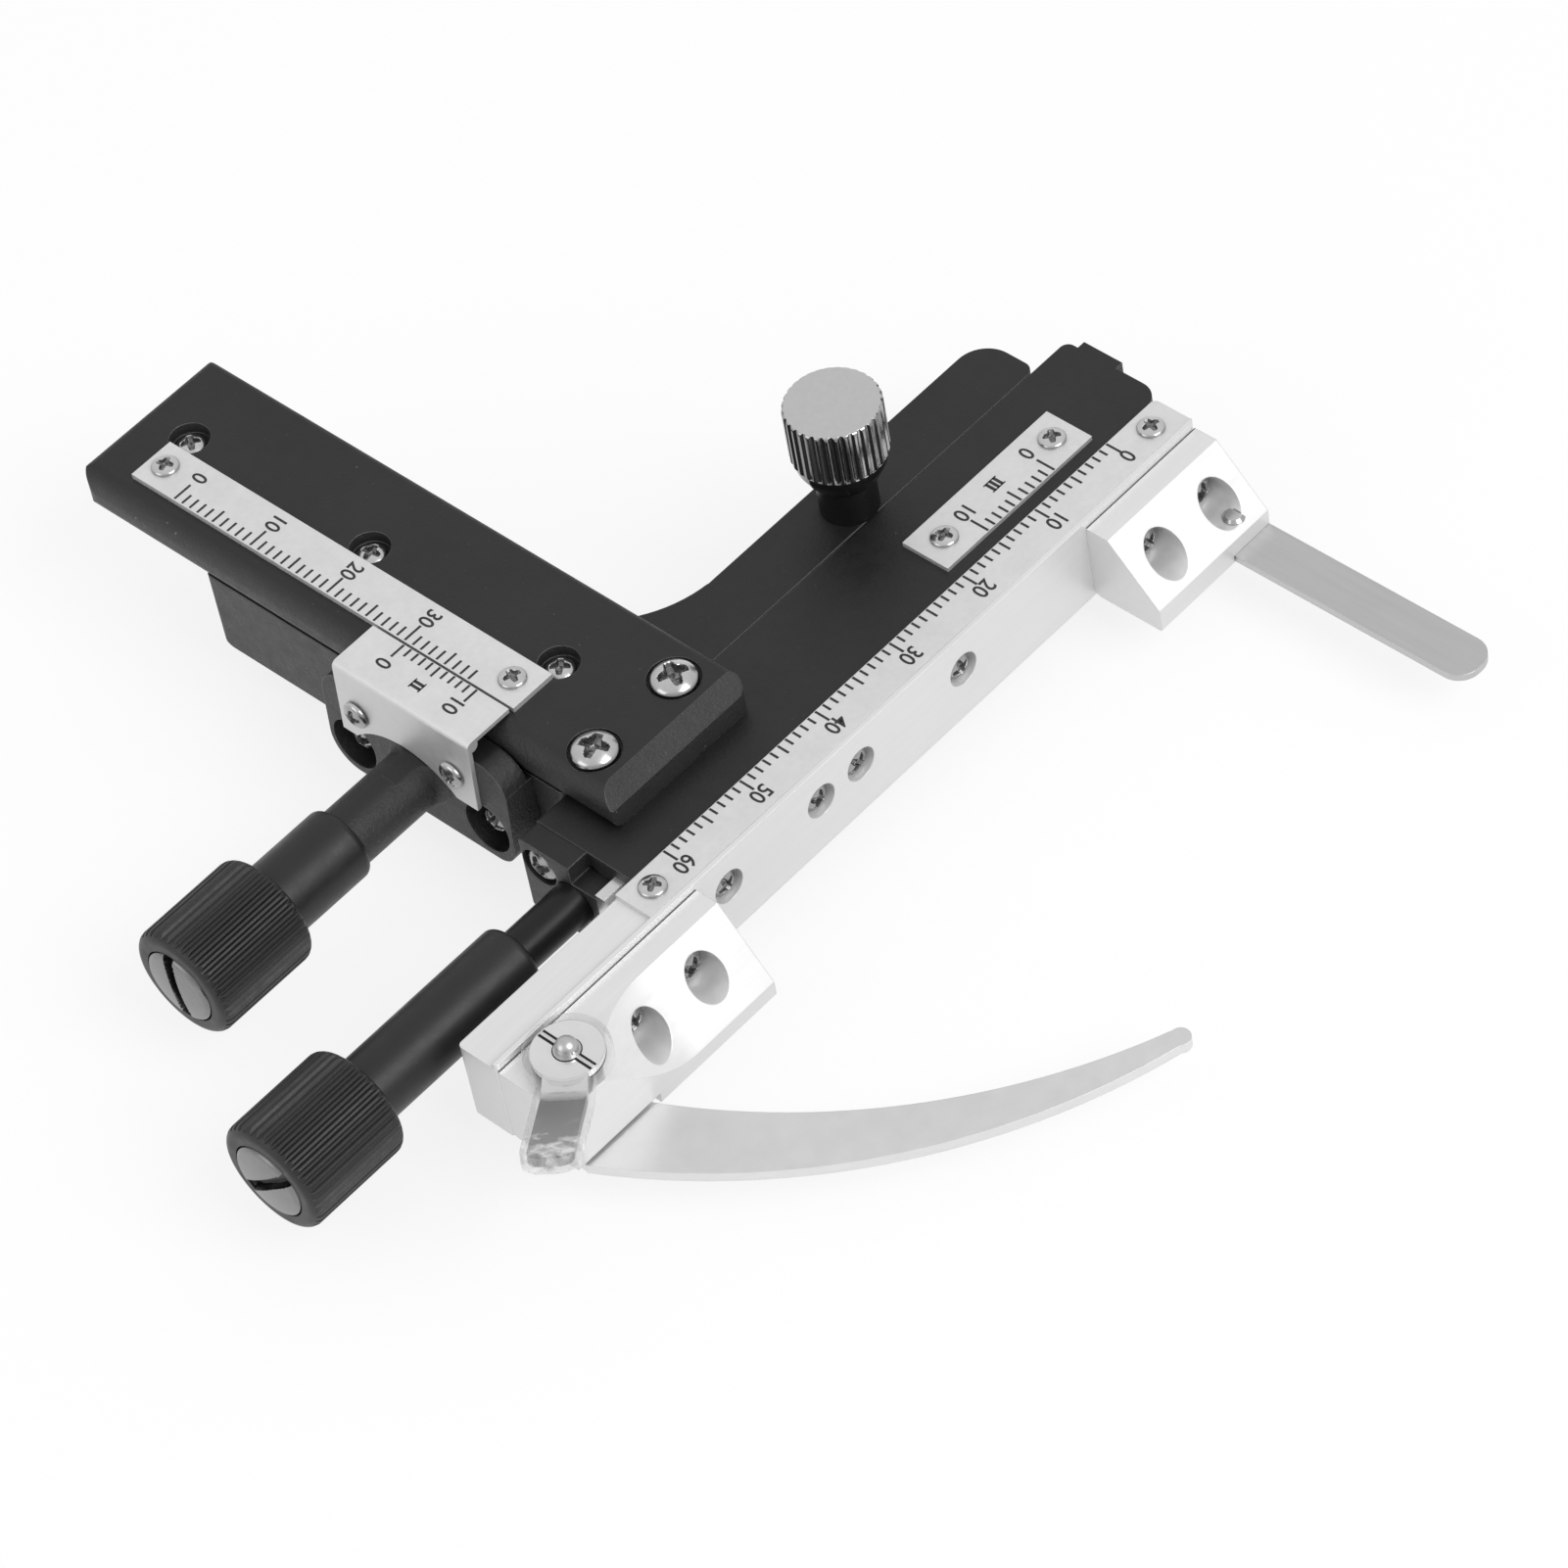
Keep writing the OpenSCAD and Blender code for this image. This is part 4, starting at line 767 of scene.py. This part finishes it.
def seen_ray(nodes, links):
    """1 for camera, glossy and transmission rays, by which a pale floor stays white."""
    path = nodes.new("ShaderNodeLightPath")
    seen = maths(nodes, links, "MAXIMUM", path.outputs["Is Camera Ray"], path.outputs["Is Glossy Ray"])
    return maths(nodes, links, "MAXIMUM", seen, path.outputs["Is Transmission Ray"])


def build_floor(low_z):
    """Pale floor that looks white and keeps the object's shadow."""
    mesh = bpy.data.meshes.new("floor")
    s = FLOOR_HALF
    corners = [(-s, -s, low_z), (s, -s, low_z), (s, s, low_z), (-s, s, low_z)]
    mesh.from_pydata(corners, [], [(0, 1, 2, 3)])
    floor = bpy.data.objects.new("floor", mesh)
    bpy.context.scene.collection.objects.link(floor)
    mat, nodes, links, bsdf, out = new_material("pale_floor")
    bsdf.inputs["Base Color"].default_value = (0.93, 0.93, 0.93, 1)
    bsdf.inputs["Roughness"].default_value = 0.9
    bsdf.inputs["Specular IOR Level"].default_value = 0.0
    glow = nodes.new("ShaderNodeEmission")
    glow.inputs["Strength"].default_value = 1.0
    mix = nodes.new("ShaderNodeMixShader")
    share = maths(nodes, links, "MULTIPLY", seen_ray(nodes, links), FLOOR_GLOW)
    links.new(share, mix.inputs["Fac"])
    links.new(bsdf.outputs["BSDF"], mix.inputs[1])
    links.new(glow.outputs["Emission"], mix.inputs[2])
    links.new(mix.outputs["Shader"], out.inputs["Surface"])
    mesh.materials.append(mat)


def build_lights():
    """Plain pale world and two soft lamps."""
    world = bpy.data.worlds.new("studio")
    bpy.context.scene.world = world
    world.use_nodes = True
    nodes = world.node_tree.nodes
    links = world.node_tree.links
    nodes.clear()
    out = nodes.new("ShaderNodeOutputWorld")
    back = nodes.new("ShaderNodeBackground")
    back.inputs["Color"].default_value = (1, 1, 1, 1)
    back.inputs["Strength"].default_value = WORLD_STRENGTH
    links.new(back.outputs["Background"], out.inputs["Surface"])
    area_light("key", (0.05, -0.78, 0.78), 5.6)
    area_light("fill", (-0.85, 0.25, 0.45), 1.2)


def build_camera():
    """Camera at the photograph's angle and distance."""
    data = bpy.data.cameras.new("camera")
    data.sensor_fit = "HORIZONTAL"
    data.sensor_width = SENSOR_WIDTH
    data.lens = SENSOR_WIDTH * FOCAL_PX / PHOTO_WIDTH
    data.clip_start = 0.01
    data.clip_end = 20.0
    obj = bpy.data.objects.new("camera", data)
    bpy.context.scene.collection.objects.link(obj)
    obj.location = CAMERA_PLACE
    obj.rotation_euler = tuple(math.radians(a) for a in CAMERA_TURN)
    bpy.context.scene.camera = obj


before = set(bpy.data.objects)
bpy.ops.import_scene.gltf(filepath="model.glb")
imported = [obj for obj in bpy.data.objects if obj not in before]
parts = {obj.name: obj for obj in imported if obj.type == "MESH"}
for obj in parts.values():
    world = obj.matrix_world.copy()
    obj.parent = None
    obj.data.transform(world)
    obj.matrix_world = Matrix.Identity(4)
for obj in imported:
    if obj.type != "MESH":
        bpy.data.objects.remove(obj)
cad_low, cad_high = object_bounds()

stud_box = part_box("pivot_stud")
pivot = ((stud_box[0] + stud_box[1]) / 2) / MM
lever_way = (math.cos(math.radians(220)), math.sin(math.radians(220)))

casting = coated("casting_paint", 0.005, 0.009, 0.46, 3200, 0.00003, edge=0.3, spec=0.56, worn_and_lit=0.12,
                 specks=0.08, pitted=0.00012)
moulded = coated("moulded_black", 0.008, 0.014, 0.42, 4200, 0.000012, edge=0.12, worn_and_lit=0.03)
blackened = coated("blackened_steel", 0.004, 0.007, 0.34, 2500, 0.000006, edge=0.1, spec=0.35,
                   worn_and_lit=0.03)
seam_shadow_paint = coated("seam_shadow", 0.03, 0.06, 0.6, 3000, 0.000004, edge=0.02, worn_and_lit=0.06)
end_steel = metal("end_screw_steel", 0.20, 0.27, 0.30, (1, 1, 1), 0.000003, edge=0.1)
plate = metal("scale_aluminium", 0.74, 0.82, 0.46, (1, 1, 1), 0.000006, edge=0.08, cloud=300.0,
              metallic=0.6)
bright = metal("bright_aluminium", 0.82, 0.88, 0.38, (0.06, 1, 1), 0.000004, edge=0.15, metallic=0.6)
brushed = metal("brushed_steel", 0.60, 0.68, 0.34, (1, 0.05, 1), 0.000004, edge=0.1)
polished = metal("polished_steel", 0.74, 0.82, 0.26, (0.4, 0.4, 1), 0.000002, edge=0.1, metallic=0.85)
finger = metal("finger_steel", 0.72, 0.80, 0.44, (0.3, 0.3, 1), 0.000003, edge=0.1, metallic=0.75)
chrome = metal("polished_chrome", 0.66, 0.72, 0.12, (1, 1, 1), 0.000001, edge=0.08)
nickel = metal("nickel_screw", 0.66, 0.78, 0.20, (1, 1, 1), 0.000002, edge=0.05)
# Painted shade: dark metal for the insides of the screws' recesses
recess = metal("recess_painted_shade", 0.14, 0.34, 0.30, (1, 1, 1), 0.000003, edge=0.03, cloud=1800.0)
brass = metal("gear_brass", 0.60, 0.68, 0.30, (1, 1, 1), 0.000003, edge=0.05, tint=(1.0, 0.82, 0.45))
lever_shaded_steel = lever_metal("lever_steel_painted_shade", pivot, lever_way)
vinyl = clear_vinyl("clear_vinyl", pivot, lever_way)
print_ink = ink("scale_ink")

# Painted shade on the upright faces of the chrome, nickel, brushed steel, plates and bright aluminium;
# painted light on the casting's upright faces
for material, tone in ((chrome, 0.42), (nickel, 0.5), (brushed, 0.85), (plate, 0.84), (casting, 3.0)):
    tone_sides(material, tone)
tone_sides(bright, 0.84, 0.1, 0.5)
# Painted shade on all the chrome below 16.5 mm, for the lower ends of the knurl's ribs
tone_below(chrome, 16.5, 0.35)

FINISHES = (
    (casting, ("base_casting", "arm_plate", "guide_block", "bearing_bracket", "pinion_bracket")),
    (moulded, ("y_sleeve", "y_knob", "x_sleeve", "x_knob")),
    (blackened, ("clamp_collar", "lead_screw")),
    (plate, ("y_vernier", "y_ruler", "x_vernier", "x_ruler")),
    (bright, ("rail", "fixed_jaw", "clip_jaw")),
    (brushed, ("straight_finger", "pivot_stud")),
    (finger, ("curved_finger",)),
    (polished, ("y_shaft", "rack_bar", "slide_bar", "clip_spring", "locating_pins")),
    (chrome, ("clamp_screw",)),
    (lever_shaded_steel, ("clip_lever",)),
    (brass, ("y_pinion",)),
    (vinyl, ("lever_sleeve",)),
)
for material, names in FINISHES:
    for name in names:
        parts[name].data.materials.clear()
        parts[name].data.materials.append(material)
soften(parts["lever_sleeve"], 0.11, 24)

UP, DOWN, LEFT, FRONT = (0, 0, 1), (0, 0, -1), (-1, 0, 0), (0, -1, 0)
SCREWS = (
    ("arm_screws", "arm", UP, (20, 65)),
    ("rack_screws", "arm", UP, (38, 10, 55)),
    ("y_ruler_screws", "arm", UP, (70, 20)),
    ("x_vernier_screws", "arm", UP, (15, 50)),
    ("x_ruler_screws", "x_slide", UP, (30, 75)),
    ("bearing_bracket_screw", "arm", LEFT, (25,)),
    ("y_vernier_screws", "base", LEFT, (35, 5)),
    ("pinion_bracket_screws", "base", LEFT, (60, 15)),
    ("slide_bar_screws", "x_slide", FRONT, (20, 55, 40, 10)),
    ("fixed_jaw_screws", "x_slide", FRONT, (30, 65)),
    ("clip_jaw_screws", "x_slide", FRONT, (10, 50)),
    ("straight_finger_screws", "x_slide", DOWN, (45, 45)),
)
for node, body, outward, spins in SCREWS:
    detailed_screws(node, body, outward, spins, (nickel, recess))
# Blackened steel serves as painted shade in the slots of the knobs' end screws
for node, body, spin in (("x_knob_screw", "x_drive", 130), ("y_knob_screw", "y_drive", 6)):
    detailed_screws(node, body, LEFT, (spin,), (end_steel, blackened), slot_depth,
                    depth=0.5, sag=0.18, finer=2)

# Blackened steel serves here as the painted shadows round the lever's key
pivot_key(polished, blackened)
turned_ring("collar_lip", (0, 0), (2.42, 2.84), (12.3, 13.36), blackened, "base")
jaw_seams(seam_shadow_paint)
thread_ridge("clamp_thread_ridge", "clamp", chrome, 2.0, 2.16, -4.4, -0.15, 0.7)

cross_scale(print_ink)
arm_scale(print_ink)
cross_vernier(print_ink)
arm_vernier(print_ink)

build_floor(cad_low[2] - FLOOR_DROP)
build_lights()
build_camera()

scene = bpy.context.scene
scene.view_settings.view_transform = "Standard"
